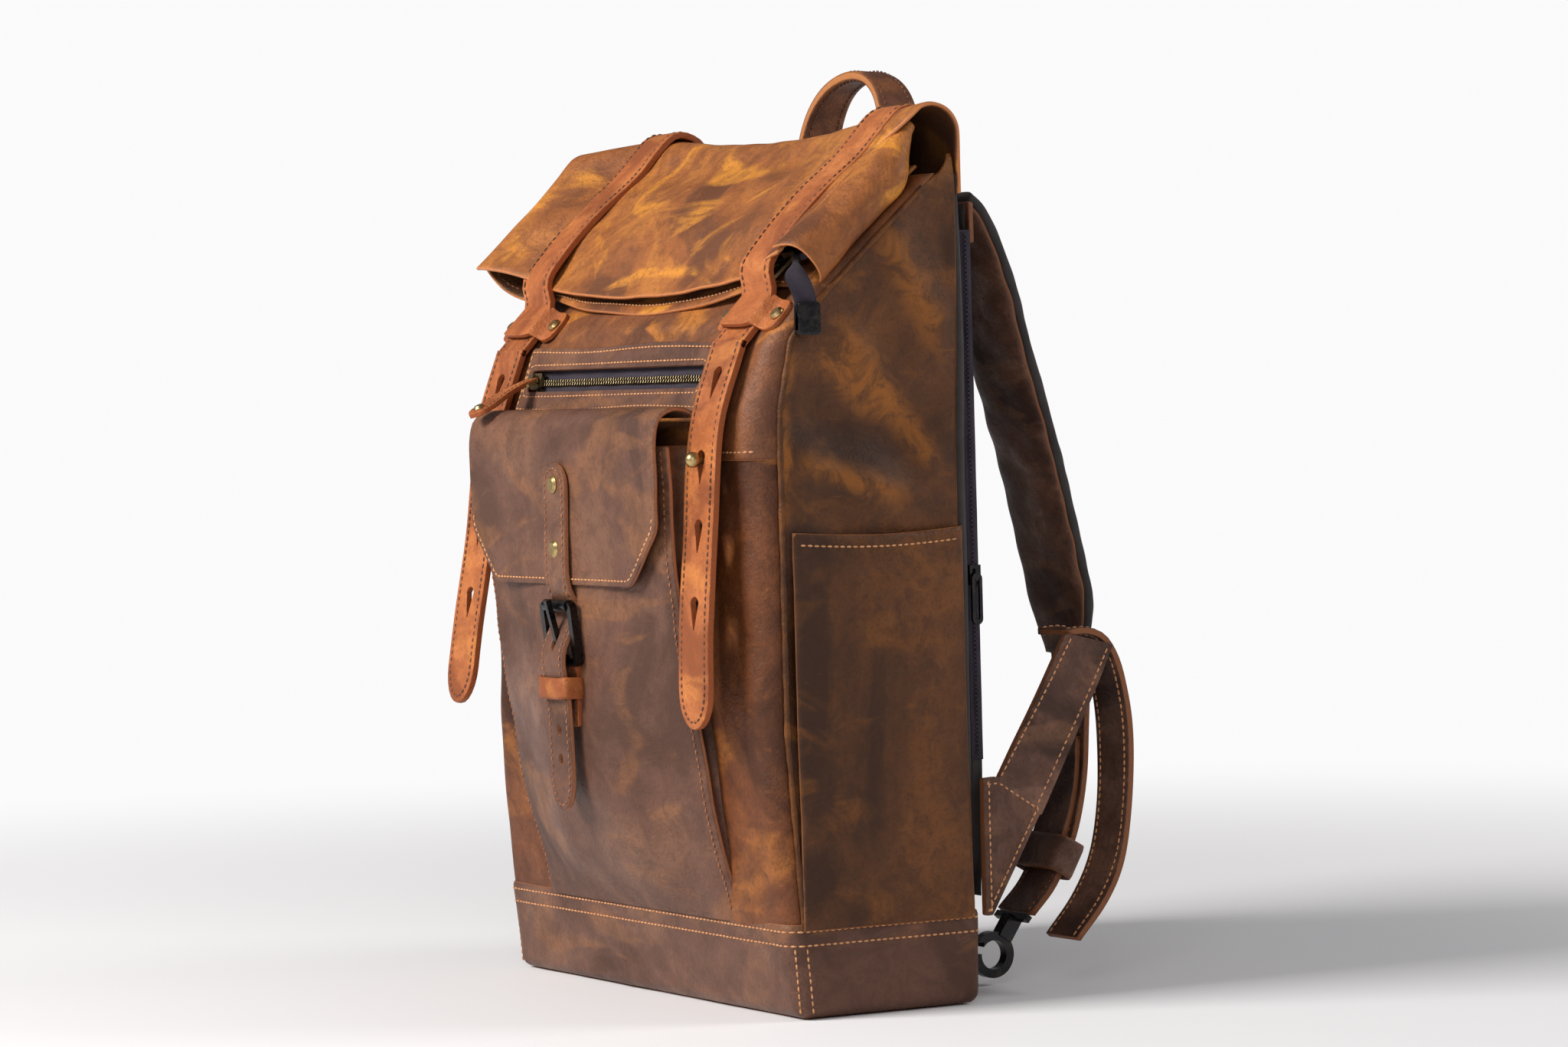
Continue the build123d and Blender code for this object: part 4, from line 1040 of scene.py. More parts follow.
def roll_gusset(name, sign):
    """The rounded side of the rolled sleeve, from the ridge down to the mouth."""
    def rule(u, v):
        along = 2 + (HEM - 3) * v
        turn = -pi / 2 + pi * u
        grown = smoothstep(v, 0.0, 0.34)
        tight = 0.2 + 0.8 * grown + 0.26 * smoothstep(v, 0.6, 1.0)
        out = 8.6 * (1 - grown) - (10.6 if sign > 0 else 8.0) * np.sin(turn) * tight
        reach = 140.5 + 17.5 * np.cos(turn) ** 0.85 * (0.45 + 0.55 * smoothstep(v, 0, 0.35))
        along = along - 4.0 * np.cos(turn) * smoothstep(v, 0.85, 1.0)
        y = RIDGE[0] + along * DOWN[0] + out * OUT[0]
        z = RIDGE[1] + along * DOWN[1] + out * OUT[1]
        flat = np.stack([reach, y, z], axis=-1)
        bumps = (1.3 * swell(flat * [sign, 1, 1], 42.0, 71) + 0.6 * swell(flat, 17.0, 72)) * np.cos(turn)
        points = np.stack([sign * (reach + bumps), y + 0.4 * bumps, z], axis=-1)
        return sag(points)
    points = grid(26, 70, rule)
    if sign < 0:
        points = points[::-1]
    worn = np.full(points.shape[:2], 0.25)
    # inside_out: its flesh side gets the near-black painted shade
    obj = shell(f"{name}_leather", points, 2.0, ROLL_LEATHER, crease=worn, inside_out=True)
    settle(obj, "roll_top", "body_leather", name)

    line = np.array([(u, 0.94) for u in np.linspace(0.1, 0.9, 12)])
    at = rule(line[:, 0], line[:, 1])
    thread_line(f"{name}_stitching", at, [sign, 0, 0], TAN_THREAD, "roll_top", "body_leather")


def thread_line(name, points, up, thread, body, slot):
    """A row of stitches along a line in space, its thread standing towards up."""
    points = np.asarray(points, float)
    steps = np.linalg.norm(np.diff(points, axis=0), axis=1)
    along = np.concatenate([[0], np.cumsum(steps)])
    up = np.asarray(up, float)

    def place(s, w, h):
        at = np.stack([np.interp(s, along, points[:, i]) for i in range(3)], axis=-1)
        return at + up * np.asarray(h)[..., None]
    line = np.array([(0.5, 0.0), (along[-1] - 0.5, 0.0)])
    settle(stitching(name, [line], place, 0.5, thread), body, slot)


for side, sign in SIDES:
    roll_gusset(f"roll_gusset_{side}", sign)


# ---------------------------------------------------------------- closure straps

CLOSURE_PATH = [
    (52.0, 424), (52.0, 440), (46.5, 449.5), (36, 453.6), roll_point(-6, 15.9), roll_point(6, 15.6),
    roll_point(30, 12.8), roll_point(62, 12.6), roll_point(84, 11.2), roll_point(101, 7.4),
    (-43.6, 364), (-46.5, 354), (-53.6, 345.6), (-62.8, 336)]
TAIL_PATH = {
    "right": [(-63.3, 335), (-76, 300), (-80, 277), (-83, 240), (-86.5, 195), (-88, 144)],
    "left": [(-63.3, 335), (-76, 300), (-80, 277), (-85, 240), (-94, 190), (-101, 148)],
}


def at_strap(x_centre):
    """Move a strap with the droop of the top at its own middle line, so it isn't stretched across."""
    def reshape(points):
        line = points.copy()
        line[..., 0] = x_centre
        return points + (sag(line) - line) * [0, 1, 1]
    return reshape


def closure(side, sign):
    """A strap over the roll-top and its hanging tail, which has four holes for the stud."""
    x = sign * STRAP_X
    strap(f"closure_strap_{side}_leather", CLOSURE_PATH, STRAP_WIDTH, STRAP_LEATHER_LOOK, ROLL_BLEND,
          "strap_leather", (f"closure_strap_{side}",), x, -1, thread=DARK_THREAD, reshape=at_strap(x),
          seed=81)
    path = Path(TAIL_PATH[side])
    drops = [np.interp(-z, -path.points[:, 1], path.along) for z in (318, 277, 243, 205)]
    holes = [teardrop(s, 0, 4.4, 12.0) for s in drops]
    strap(f"closure_tail_{side}_leather", TAIL_PATH[side], STRAP_WIDTH, STRAP_LEATHER_LOOK,
          f"strap_tail_{side}", "strap_leather", (f"closure_tail_{side}",), x, -1, tip=20.0, holes=holes,
          thread=DARK_THREAD, seed=83)


for side, sign in SIDES:
    closure(side, sign)


def keeper(name, sign):
    """The leather loop that holds a closure strap down, with a lobe at each end."""
    slope = Path([(-58, 335), (-38, 356)], smooth=False)
    middle = slope.length / 2 + 0.4
    half = 29.0

    def rise(w):
        return 1.4 + 6.4 * (1 - smoothstep(np.abs(w), 13.5, 20.5))

    def place(s, w, h):
        y, z, ny, nz = slope.at(s)
        lift = h + rise(w)
        steep = smoothstep(np.abs(w), 13.0, 16.0) * (1 - smoothstep(np.abs(w), 19.0, 22.0))
        x = sign * STRAP_X + w * (1 - 0.06 * steep)
        return np.stack([x, y + ny * lift, z + nz * lift], axis=-1)
    outline = []
    for t in np.linspace(0, 2 * pi, 72, endpoint=False):
        w = half * signed_power(cos(t), 0.55)
        tall = 11.8 - 1.6 * np.exp(-((abs(w) - 17.0) / 5.0) ** 2)
        outline.append((middle + tall * signed_power(sin(t), 0.55), w))
    obj = flat_piece(name + "_leather", outline, 2.6, place, STRAP_LEATHER_LOOK, cut=(4.0, 1.6), wave=0.3,
                     seed=91)
    settle(obj, "root", "strap_leather", name)


for side, sign in SIDES:
    keeper(f"strap_keeper_{side}", sign)


# ---------------------------------------------------------------- front zip

ZIP_ORIGIN = np.array((0.0, -64.5, 317.5))
ZIP_OUT = np.array((0.0, -0.937, 0.348))
ZIP_UP = np.array((0.0, 0.348, 0.937))


def on_zip(s, w, h):
    """The zip's plane: s to the right, w up, h outwards."""
    s, w, h = np.broadcast_arrays(s, w, h)
    right = np.array((1.0, 0, 0))
    return ZIP_ORIGIN + s[..., None] * right + w[..., None] * ZIP_UP + h[..., None] * ZIP_OUT


def zip_facing():
    """The leather frame of the front zip, a little wavy away from its slot."""
    def lay(s, w, h):
        away = smoothstep(np.abs(w), 6, 18)
        ripple = 0.8 * np.sin(np.asarray(s) / 31.0) * away
        return on_zip(s, w + 0.6 * np.sin(np.asarray(s) / 24.0) * away, h + 1.3 + ripple)
    outline = rounded(box_outline(-102, 102, 18.5), 4)
    slot = rounded(box_outline(-95, 95, 6), 2.5)[::-1]
    obj = flat_piece("front_zip_facing_leather", outline, 1.9, lay, POCKET_LEATHER, [slot], (4.0, 4.0))
    settle(obj, "root", "pocket_leather", "front_zip_facing")
    rows = [(inset(outline, 2.6), True), (inset(slot[::-1], -2.8), True)]
    settle(stitching("front_zip_facing_stitching", rows, lay, 1.05, PALE_THREAD), "root", "pocket_leather")


zip_facing()


def ribbon_tape(name, place, length, width, body, replaced, thickness=0.8):
    """A woven zip tape with a slightly uneven surface."""
    def rule(u, v):
        s = (u - 0.5) * length
        w = (v - 0.5) * width
        return place(s, w, 0.25 * np.sin(s / 5.0) * np.sin(v * pi))
    count = max(8, int(length / 3))
    settle(shell(name, grid(count, 12, rule), thickness, ZIP_TAPE), body, "zip_tape", *replaced)


def zip_teeth(name, place, length, body, replaced, material=ZIP_METAL, pitch=2.7):
    """Two rows of metal teeth that mesh along a line."""
    tooth = (1.3, 2.5, 2.0)
    corner = np.array([(x, y, z) for x in (-1, 1) for y in (-1, 1) for z in (-1, 1)], float) / 2
    points, faces = [], []
    count = int(length / pitch)
    for row in (-1, 1):
        for i in range(count):
            s = -length / 2 + (i + (0.25 if row > 0 else 0.75)) * length / count
            base = len(points)
            for dx, dy, dz in corner:
                taper = 0.72 if dz > 0 else 1.0
                narrow = 0.75 if dy * row > 0 else 1.0
                points.append(place(s + dx * tooth[0] * taper * narrow, row * (0.9 + dy * tooth[1] * taper),
                                    1.2 + dz * tooth[2]))
            for quad in ((0, 1, 3, 2), (4, 6, 7, 5), (0, 4, 5, 1), (2, 3, 7, 6), (0, 2, 6, 4), (1, 5, 7, 3)):
                faces.append(tuple(base + k for k in quad))
    obj = mesh_from(name, np.array(points).reshape(-1, 3), faces, material)
    bevel = obj.modifiers.new("bevel", "BEVEL")
    bevel.width = 0.18 * MM
    bevel.segments = 2
    obj.data.shade_flat()
    settle(obj, body, "zip_metal" if material is ZIP_METAL else "zip_tape", *replaced)


def front_zip():
    """The front zip's tape and teeth, sunk behind the facing."""
    def sunk(depth):
        return lambda s, w, h: on_zip(s, w, h - depth)
    ribbon_tape("front_zip_tape_woven", sunk(2.7), 188, 27, "root", ("front_zip_tape",))
    zip_teeth("front_zip_teeth_metal", sunk(2.8), 184, "root", ("front_zip_teeth",))


front_zip()


def zip_pull():
    """The leather pull, which widens towards its round end."""
    path = Path([(-67.05, 319), (-72, 317.5), (-84, 312.5), (-97, 305), (-106, 300.5)])
    lay = path.place(-87.0, -1)
    outline = []
    for t in np.linspace(0, 1, 26):
        half = 3.8 + 4.0 * smoothstep(t, 0.1, 0.75)
        round_end = 1 - max(0, (t - 0.84) / 0.16) ** 2.2 * 0.98
        outline.append((path.length * t, -half * round_end))
    outline = outline + [(s, -w) for s, w in outline[::-1]]
    obj = flat_piece("front_zip_pull_leather", outline, 2.8, lay, STRAP_LEATHER_LOOK, cut=(2.0, 4.0),
                     wave=0.1)
    settle(obj, "front_zip_pull", "strap_leather", "front_zip_pull")
    line = inset(outline, 1.6)
    rows = [line[2:24], line[-24:-2]]
    settle(stitching("front_zip_pull_stitching", rows, lay, 1.5, DARK_THREAD, 2.6, 1.9, 0.3),
           "front_zip_pull", "strap_leather")


zip_pull()


# ---------------------------------------------------------------- front pocket

POCKET_HALF = 103.0
POCKET_PATH = Path([
    (-58.5, 46), (-67, 57), (-79, 76), (-87.5, 102), (-91.5, 135), (-94.0, 190), (-94.0, 240), (-93.5, 284)])
# The pocket's side edges, as (Z, Y).
POCKET_SIDE = np.array([
    (46, -58.5), (78, -66), (112, -73), (150, -80), (190, -86), (235, -91), (284, -93.5)], float)


def pocket_line(y, z, w):
    """The pocket is fuller in its middle: its side edges run straight down to the base band."""
    straight = np.interp(z, POCKET_SIDE[:, 0], POCKET_SIDE[:, 1])
    side = smoothstep(np.abs(w), 24, 106)
    edge = np.clip((np.abs(w) - 88.0) / 15.0, 0, 1)
    return y + (straight - y) * side + 2.6 * edge ** 2.4


def pocket_place(s, w, h):
    """Lay a flat piece on the pocket's face: s up from its foot, w across, h outwards."""
    y, z, ny, nz = POCKET_PATH.at(s)
    flat = np.stack([w + 0 * y, y, z], axis=-1)
    soft = 1.3 * swell(flat, 95.0, 101) + 0.4 * swell(flat, 36.0, 102)
    belly = 2.0 * np.cos(np.clip(w / 110, -1, 1) * pi / 2) * smoothstep(s, 20, 80)
    height = h + (soft + belly) * smoothstep(s, 4, 30) * (1 - 0.8 * smoothstep(s, 205, 240))
    return np.stack([w + 0 * y, pocket_line(y, z, w) + ny * height, z + nz * height], axis=-1)


def front_pocket():
    """The pocket's face and its stitched edges."""
    length = POCKET_PATH.length
    outline = rounded(box_outline(0, length, POCKET_HALF), 2)
    obj = flat_piece("front_pocket_panel_leather", outline, LEATHER, pocket_place, POCKET_LEATHER,
                     cut=(4.5, 4.5), wave=0.0)
    settle(obj, "root", "pocket_leather", "front_pocket_panel")
    rows = edge_rows(8, length - 2, POCKET_HALF - 3.5)
    sewn = stitching("front_pocket_stitching", rows, pocket_place, 1.32, TAN_THREAD)
    settle(sewn, "root", "pocket_leather")


def pocket_gusset(side, sign):
    """The folded wall between the pocket's side edge and the bag."""
    def rule(u, v):
        s = POCKET_PATH.length * v
        edge = pocket_place(s, sign * (POCKET_HALF - 0.4) + 0 * s, -1.0 + 0 * s)
        z = np.maximum(edge[..., 2], BAND_HEIGHT)
        front = section(z)[0]
        tuck = -5.0 * np.sin(pi * u) * smoothstep(v, 0.1, 0.6)
        y = edge[..., 1] + (front + 0.5 - edge[..., 1]) * u
        return np.stack([edge[..., 0] + sign * tuck, y, z], axis=-1)
    points = grid(16, 80, rule)
    if sign < 0:
        points = points[::-1]
    replaced = ("front_pocket_gusset",) if sign > 0 else ()
    obj = shell(f"front_pocket_gusset_{side}_leather", points, 1.8, POCKET_LEATHER)
    settle(obj, "root", "pocket_leather", *replaced)


front_pocket()
for side, sign in SIDES:
    pocket_gusset(side, sign)


# ---------------------------------------------------------------- pocket flap

FLAP_PATH = Path([
    (-74.8, 298.3), (-80, 301.4), (-88, 302), (-95, 298), (-98.2, 288), (-98.4, 265), (-98.2, 240),
    (-98.2, 213.6)])


def flap_place(s, w, h):
    """Lay a flat piece on the flap: s down from its root, w across, h outwards."""
    y, z, ny, nz = FLAP_PATH.at(s)
    flat = np.stack([w + 0 * y, y, z], axis=-1)
    loose = smoothstep(s, 20, 60)
    soft = (0.7 * swell(flat, 70.0, 111) + 0.3 * swell(flat, 28.0, 112)) * loose
    curl = 2.2 * np.clip((np.abs(w) - 60) / 43, 0, 1) ** 2 * loose
    height = h + soft * 0.8 - 0.2 * curl
    return np.stack([w + 0 * y, y - ny * height, z - nz * height], axis=-1)


def pocket_flap():
    """The flap with its cut corners and one row of stitches along its free edge."""
    end = FLAP_PATH.length
    corner = end - 29.0
    outline = rounded([(0, -103, 1), (corner, -103, 6), (end, -75, 5), (end, 75, 5), (corner, 103, 6),
                       (0, 103, 1)], 3)
    obj = flat_piece("pocket_flap_leather", outline, LEATHER, flap_place, POCKET_LEATHER, cut=(3.5, 5.0),
                     wave=0.0, edge=0.8)
    settle(obj, "pocket_flap", "pocket_leather", "pocket_flap")
    line = inset(outline, 3.0)
    line = line[line[:, 0] > 10.0]
    steps = np.diff(np.vstack([line, line[:1]]), axis=0)
    root_gap = np.linalg.norm(steps, axis=1) * (np.abs(steps[:, 1]) > 120)
    line = np.roll(line, -int(np.argmax(root_gap)) - 1, axis=0)
    sewn = stitching("pocket_flap_stitching", [line], flap_place, 1.32, PALE_THREAD)
    settle(sewn, "pocket_flap", "pocket_leather")


pocket_flap()


TONGUE_PATH = [
    (-101.2, 276), (-101.3, 250), (-101.3, 216), (-99.6, 209.5), (-96.2, 204), (-96.0, 199), (-100.6, 189),
    (-104.6, 180), (-105.0, 172), (-102.6, 158), (-101.2, 130), (-100.4, 98)]


def tongue():
    """The strap down the flap into the buckle. Its first hole is longer, for the prong."""
    path = Path(TONGUE_PATH)
    turn = [radians(a) for a in np.linspace(-180, 180, 14, endpoint=False)]
    holes = []
    for z, long, wide in ((185, 6.0, 2.3), (139, 3.0, 2.0), (124, 3.0, 2.0)):
        s = np.interp(-z, -path.points[:, 1], path.along)
        holes.append([(s + long * cos(a), wide * sin(a)) for a in turn][::-1])
    strap("flap_tongue_leather", TONGUE_PATH, 24.0, POCKET_LEATHER, "pocket_flap", "strap_leather",
          ("flap_tongue",), 0.0, -1, tip=17.0, tail=12.0, holes=holes, thread=TAN_THREAD, margin=2.6,
          thickness=2.6, wave=0.1)


tongue()


def buckle_leather():
    """The tab that holds the buckle and the loop that holds the tongue's end."""
    path = Path([(-95.9, 141), (-96.1, 150), (-96.1, 168), (-97.6, 175)])
    lay = path.place(0.0, 1)
    outline = rounded(box_outline(0, path.length, 12), 2)
    obj = flat_piece("buckle_chape_leather", outline, 3.6, lay, STRAP_LEATHER_LOOK, cut=(3.0, 4.0), wave=0.1)
    settle(obj, "root", "strap_leather", "buckle_chape")
    rows = edge_rows(2.5, path.length - 4, 9.6)
    settle(stitching("buckle_chape_stitching", rows, lay, 1.9, DARK_THREAD), "root", "strap_leather")

    def rule(u, v):
        angle = 2 * pi * u
        across = signed_power(np.cos(angle), 0.35) * 15.2
        deep = signed_power(np.sin(angle), 0.42) * 7.2
        z = 155.6 + 11.0 * v + 0.3 * np.sin(angle * 3)
        return np.stack([across, -100.6 - deep, z], axis=-1)
    points = grid(73, 7, rule)[:-1]
    loop = shell("buckle_keeper_leather", points[::-1], 1.9, STRAP_LEATHER_LOOK, closed=True)
    settle(loop, "root", "strap_leather", "buckle_keeper")


buckle_leather()


# ---------------------------------------------------------------- handle, yoke and back

def grab_handle():
    """A doubled leather loop that leans back over the ridge."""
    half = 44.0
    t = np.linspace(0, pi, 40)
    x = -half * np.cos(t) * (1 + 0.08 * np.sin(t) ** 2)
    z = 415 + 60.0 * np.sin(t) ** 0.72
    arch = np.stack([x, z], axis=1)
    steps = np.linalg.norm(np.diff(arch, axis=0), axis=1)
    along = np.concatenate([[0], np.cumsum(steps)])
    tangent = np.gradient(arch, axis=0)
    tangent /= np.linalg.norm(tangent, axis=1)[:, None]

    def place(s, w, h):
        ax = np.interp(s, along, arch[:, 0])
        az = np.interp(s, along, arch[:, 1])
        nx = np.interp(s, along, -tangent[:, 1])
        nz = np.interp(s, along, tangent[:, 0])
        lean = (az - 415) * 0.10
        pinch = 1 - 0.28 * np.sin(pi * s / along[-1]) ** 4
        return np.stack([ax + nx * h, 88.0 - 6 + lean + w * pinch + 0 * ax, az + nz * h], axis=-1)
    length = along[-1]
    outline = rounded(box_outline(0, length, 12), 2)
    obj = flat_piece("grab_handle_leather", outline, 5.0, place, BODY_LEATHER, cut=(3.5, 3.0), edge=1.4,
                     wave=0.3)
    settle(obj, "grab_handle", "strap_leather", "grab_handle")
    rows = edge_rows(2, length - 2, 8.2)
    for label, height in (("", 2.62), ("_inner", -2.62)):
        sewn = stitching(f"grab_handle_stitching{label}", rows, place, height, DARK_THREAD)
        settle(sewn, "grab_handle", "strap_leather")


grab_handle()


def yoke():
    """The leather bar across the back that holds the shoulder straps and the handle."""
    def lay(s, w, h):
        return np.stack([s, 73.6 + h + 0 * s, 392.5 + w + 0 * s], axis=-1)
    corners = [(-128, -10.5), (128, -10.5), (128, 10.5), (56, 10.5), (54, 20.5), (30, 20.5), (28, 10.5),
               (-28, 10.5), (-30, 20.5), (-54, 20.5), (-56, 10.5), (-128, 10.5)]
    outline = rounded(corners, 1.8)
    obj = flat_piece("strap_yoke_leather", outline, 3.0, lay, DARK_STRAP, cut=(5.0, 4.0), wave=0.2)
    settle(obj, "root", "strap_leather", "strap_yoke")
    sewn = stitching("strap_yoke_stitching", edge_rows(-125, 125, 7.5), lay, 1.62, DARK_THREAD)
    settle(sewn, "root", "strap_leather")


yoke()


def back_pad():
    """The padded back, quilted into six cushions."""
    half_x, low, high = 126.0, 60.0, 376.0

    def puff(u, v):
        across = 1 - np.abs(2 * u - 1) ** 5
        tall = 1 - np.abs(2 * v - 1) ** 9
        channel = 1.0
        for at in (0.34, 0.66):
            channel = channel * (1 - 0.55 * np.exp(-((v - at) / 0.012) ** 2))
        channel = channel * (1 - 0.5 * np.exp(-((u - 0.5) / 0.016) ** 2))
        return np.clip(across * tall, 0, 1) ** 0.5 * channel

    def rule(u, v):
        x = (2 * u - 1) * half_x * (1 - 0.03 * np.abs(2 * v - 1) ** 8)
        z = low + (high - low) * v
        flat = np.stack([x, 0 * x, z], axis=-1)
        y = 62.4 + 9.4 * puff(u, v) + 0.35 * swell(flat, 26.0, 121) * puff(u, v)
        return np.stack([x, y, z], axis=-1)
    points = grid(110, 130, rule)
    obj = shell("back_pad_fabric", points[::-1], 1.6, PAD_FABRIC)
    settle(obj, "root", "pad_fabric", "back_pad")


def laptop_gusset():
    """The wall of the laptop pocket, between the bag's back and the back pad."""
    def rule(u, v):
        t = u * 2 * pi
        x = 146 * signed_power(np.cos(t), 0.16)
        z = 227 + 177 * signed_power(np.sin(t), 0.16)
        y = 54.6 + 7.6 * v
        flat = np.stack([x, y, z], axis=-1)
        shrink = 1 - 0.012 * v + 0.003 * swell(flat, 50.0, 131)
        return np.stack([x * shrink, y, 227 + (z - 227) * shrink], axis=-1)
    points = grid(221, 6, rule)[:-1]
    ring = shell("laptop_gusset_fabric", points[::-1], 1.8, PAD_FABRIC, closed=True)
    settle(ring, "root", "lining_fabric", "laptop_gusset")

    def cover(u, v):
        x = (2 * u - 1) * 143
        z = 53 + 348 * v
        corner = np.clip(np.abs(2 * u - 1) ** 14 + np.abs(2 * v - 1) ** 20, 0, 1)
        flat = np.stack([x, 0 * x, z], axis=-1)
        return np.stack([x, 62.3 - 1.2 * corner + 0.3 * swell(flat, 40.0, 133), z], axis=-1)
    face = shell("laptop_pocket_cover_fabric", grid(70, 90, cover)[::-1], 1.2, PAD_FABRIC)
    settle(face, "root", "lining_fabric")


back_pad()
laptop_gusset()


def back_zip():
    """The upright zip of the laptop pocket, on its right side."""
    def lay(s, w, h):
        s, w, h = np.broadcast_arrays(s, w, h)
        return np.stack([145.9 + h, 58.2 + w, 255.0 + s], axis=-1)
    ribbon_tape("back_zip_tape_woven", lambda s, w, h: lay(s, -w, h + 0.4), 266, 6.6, "root",
                ("back_zip_tape",), 0.7)
    zip_teeth("back_zip_teeth_metal", lambda s, w, h: lay(s, w * 0.62, h * 0.55 + 0.3), 262, "root", (),
              ZIP_TAPE, pitch=2.2)


back_zip()


# ---------------------------------------------------------------- linings

def lining():
    """The bag's lining, kept clear of the side creases and of the front zip."""
    def rule(u, v):
        z = 52 + 352 * v
        half = section(z)[2]
        total = along_wall(BACK_SEAM_Y, z) + 7 + half
        p = (2 * u - 1) * total
        flat = wall(p, z, 0)
        side = smoothstep(np.abs(flat[..., 0]), 140, 148) * smoothstep(z, 215, 270)
        zipped = smoothstep(z, 285, 300) * smoothstep(-flat[..., 1], 20, 40)
        return wall(p, z, -4.0 + 0.8 * swell(flat, 48.0, 141) - 13.0 * side - 9.0 * zipped)
    points = grid(240, 60, rule)
    settle(shell("lining_cloth", points, 0.8, LINING), "root", "lining_fabric", "lining")


def pocket_bag():
    """The flat cloth bag behind the front zip."""
    def rule(u, v):
        t = 2 * pi * u
        x = 97 * signed_power(np.cos(t), 0.4)
        slim = 0.35 + 0.65 * np.sin(pi * np.clip(v, 0.02, 0.98)) ** 0.6
        y = -54.0 + 5.2 * slim * np.sin(t)
        z = 192 + 132 * v
        push = np.interp(z, (190, 300, 330), (-4.0, -4.0, 0.0))
        return np.stack([x, y + push, z], axis=-1)
    points = grid(97, 40, rule)[:-1]
    bag = shell("zip_pocket_bag_cloth", points, 0.8, LINING, closed=True)
    settle(bag, "root", "lining_fabric", "zip_pocket_bag")


lining()
pocket_bag()


# ---------------------------------------------------------------- top zip

def top_zip():
    """The zip inside the sleeve's hem."""
    def lay(s, w, h):
        s, w, h = np.broadcast_arrays(s, w, h)
        at = 88.7 - h
        y = RIDGE[0] + at * DOWN[0] + w * OUT[0]
        z = RIDGE[1] + at * DOWN[1] + w * OUT[1]
        return sag(np.stack([s, y, z], axis=-1))
    ribbon_tape("top_zip_tape_woven", lambda s, w, h: lay(s, -0.4 - w, -h), 284, 4.0, "roll_top",
                ("top_zip_tape",))
    zip_teeth("top_zip_teeth_metal", lambda s, w, h: lay(s, -0.4 + 0.42 * w, -h - 0.4), 276, "roll_top", ())


def zip_tail():
    """The end of the zip's tape, which hangs out of the sleeve's mouth, and the metal clip on it."""
    path = smooth_curve([(136, -32.5, 377), (144, -39.0, 372.5), (151.5, -43.5, 367), (156.4, -43.0, 359),
                         (157.4, -40.4, 346)])
    steps = np.concatenate([[0], np.cumsum(np.linalg.norm(np.diff(path, axis=0), axis=1))])

    def rule(u, v):
        s = steps[-1] * u
        w = (v - 0.5) * (4.0 + 8.5 * smoothstep(u, 0.25, 0.55))
        x, y, z = (np.interp(s, steps, path[:, i]) for i in range(3))
        wave = 0.9 * np.sin(w / 2.2 + s / 9.0)
        return np.stack([x + wave, y - w * 0.94, z - w * 0.28], axis=-1)
    tail = shell("top_zip_tail_woven", grid(30, 12, rule), 0.9, ZIP_TAPE)
    settle(tail, "roll_top", "zip_tape", "top_zip_clip")

    def clip_place(offset):
        return lambda s, w, h: np.stack([157.2 + h + offset + 0 * s, -40.4 + w + 0 * s, 353.0 - s], axis=-1)
    half = 6.2
    for label, offset in (("outer", 1.9), ("inner", -1.9)):
        plate = rounded(box_outline(0, 15.5, half), 1.5)
        piece = flat_piece(f"top_zip_clip_{label}", plate, 1.1, clip_place(offset), BLACK_METAL,
                           cut=(4.0, 4.0), edge=0.35, wave=0.0)
        settle(piece, "roll_top", "zip_metal")
    edge = rounded(box_outline(13.6, 16.2, half), 0.8)
    fold_over = flat_piece("top_zip_clip_fold", edge, 4.6, clip_place(0.0), BLACK_METAL, cut=(2.0, 4.0),
                           edge=0.9, wave=0.0)
    settle(fold_over, "roll_top", "zip_metal")


top_zip()
zip_tail()


# ---------------------------------------------------------------- shoulder and lower straps

SHOULDER_PATH = Path([
    (80, 406), (86.5, 400), (92, 390), (104, 360), (112, 330), (121, 300), (130, 268), (137, 240), (146, 200),
    (150, 169)])
SHOULDER_X = 92.0


def half_width(t):
    """Half the width of a shoulder pad, at a share t of its length."""
    return 27.0 - 9.0 * smoothstep(t, 0.86, 1.0) - 2.0 * (1 - smoothstep(t, 0, 0.1))


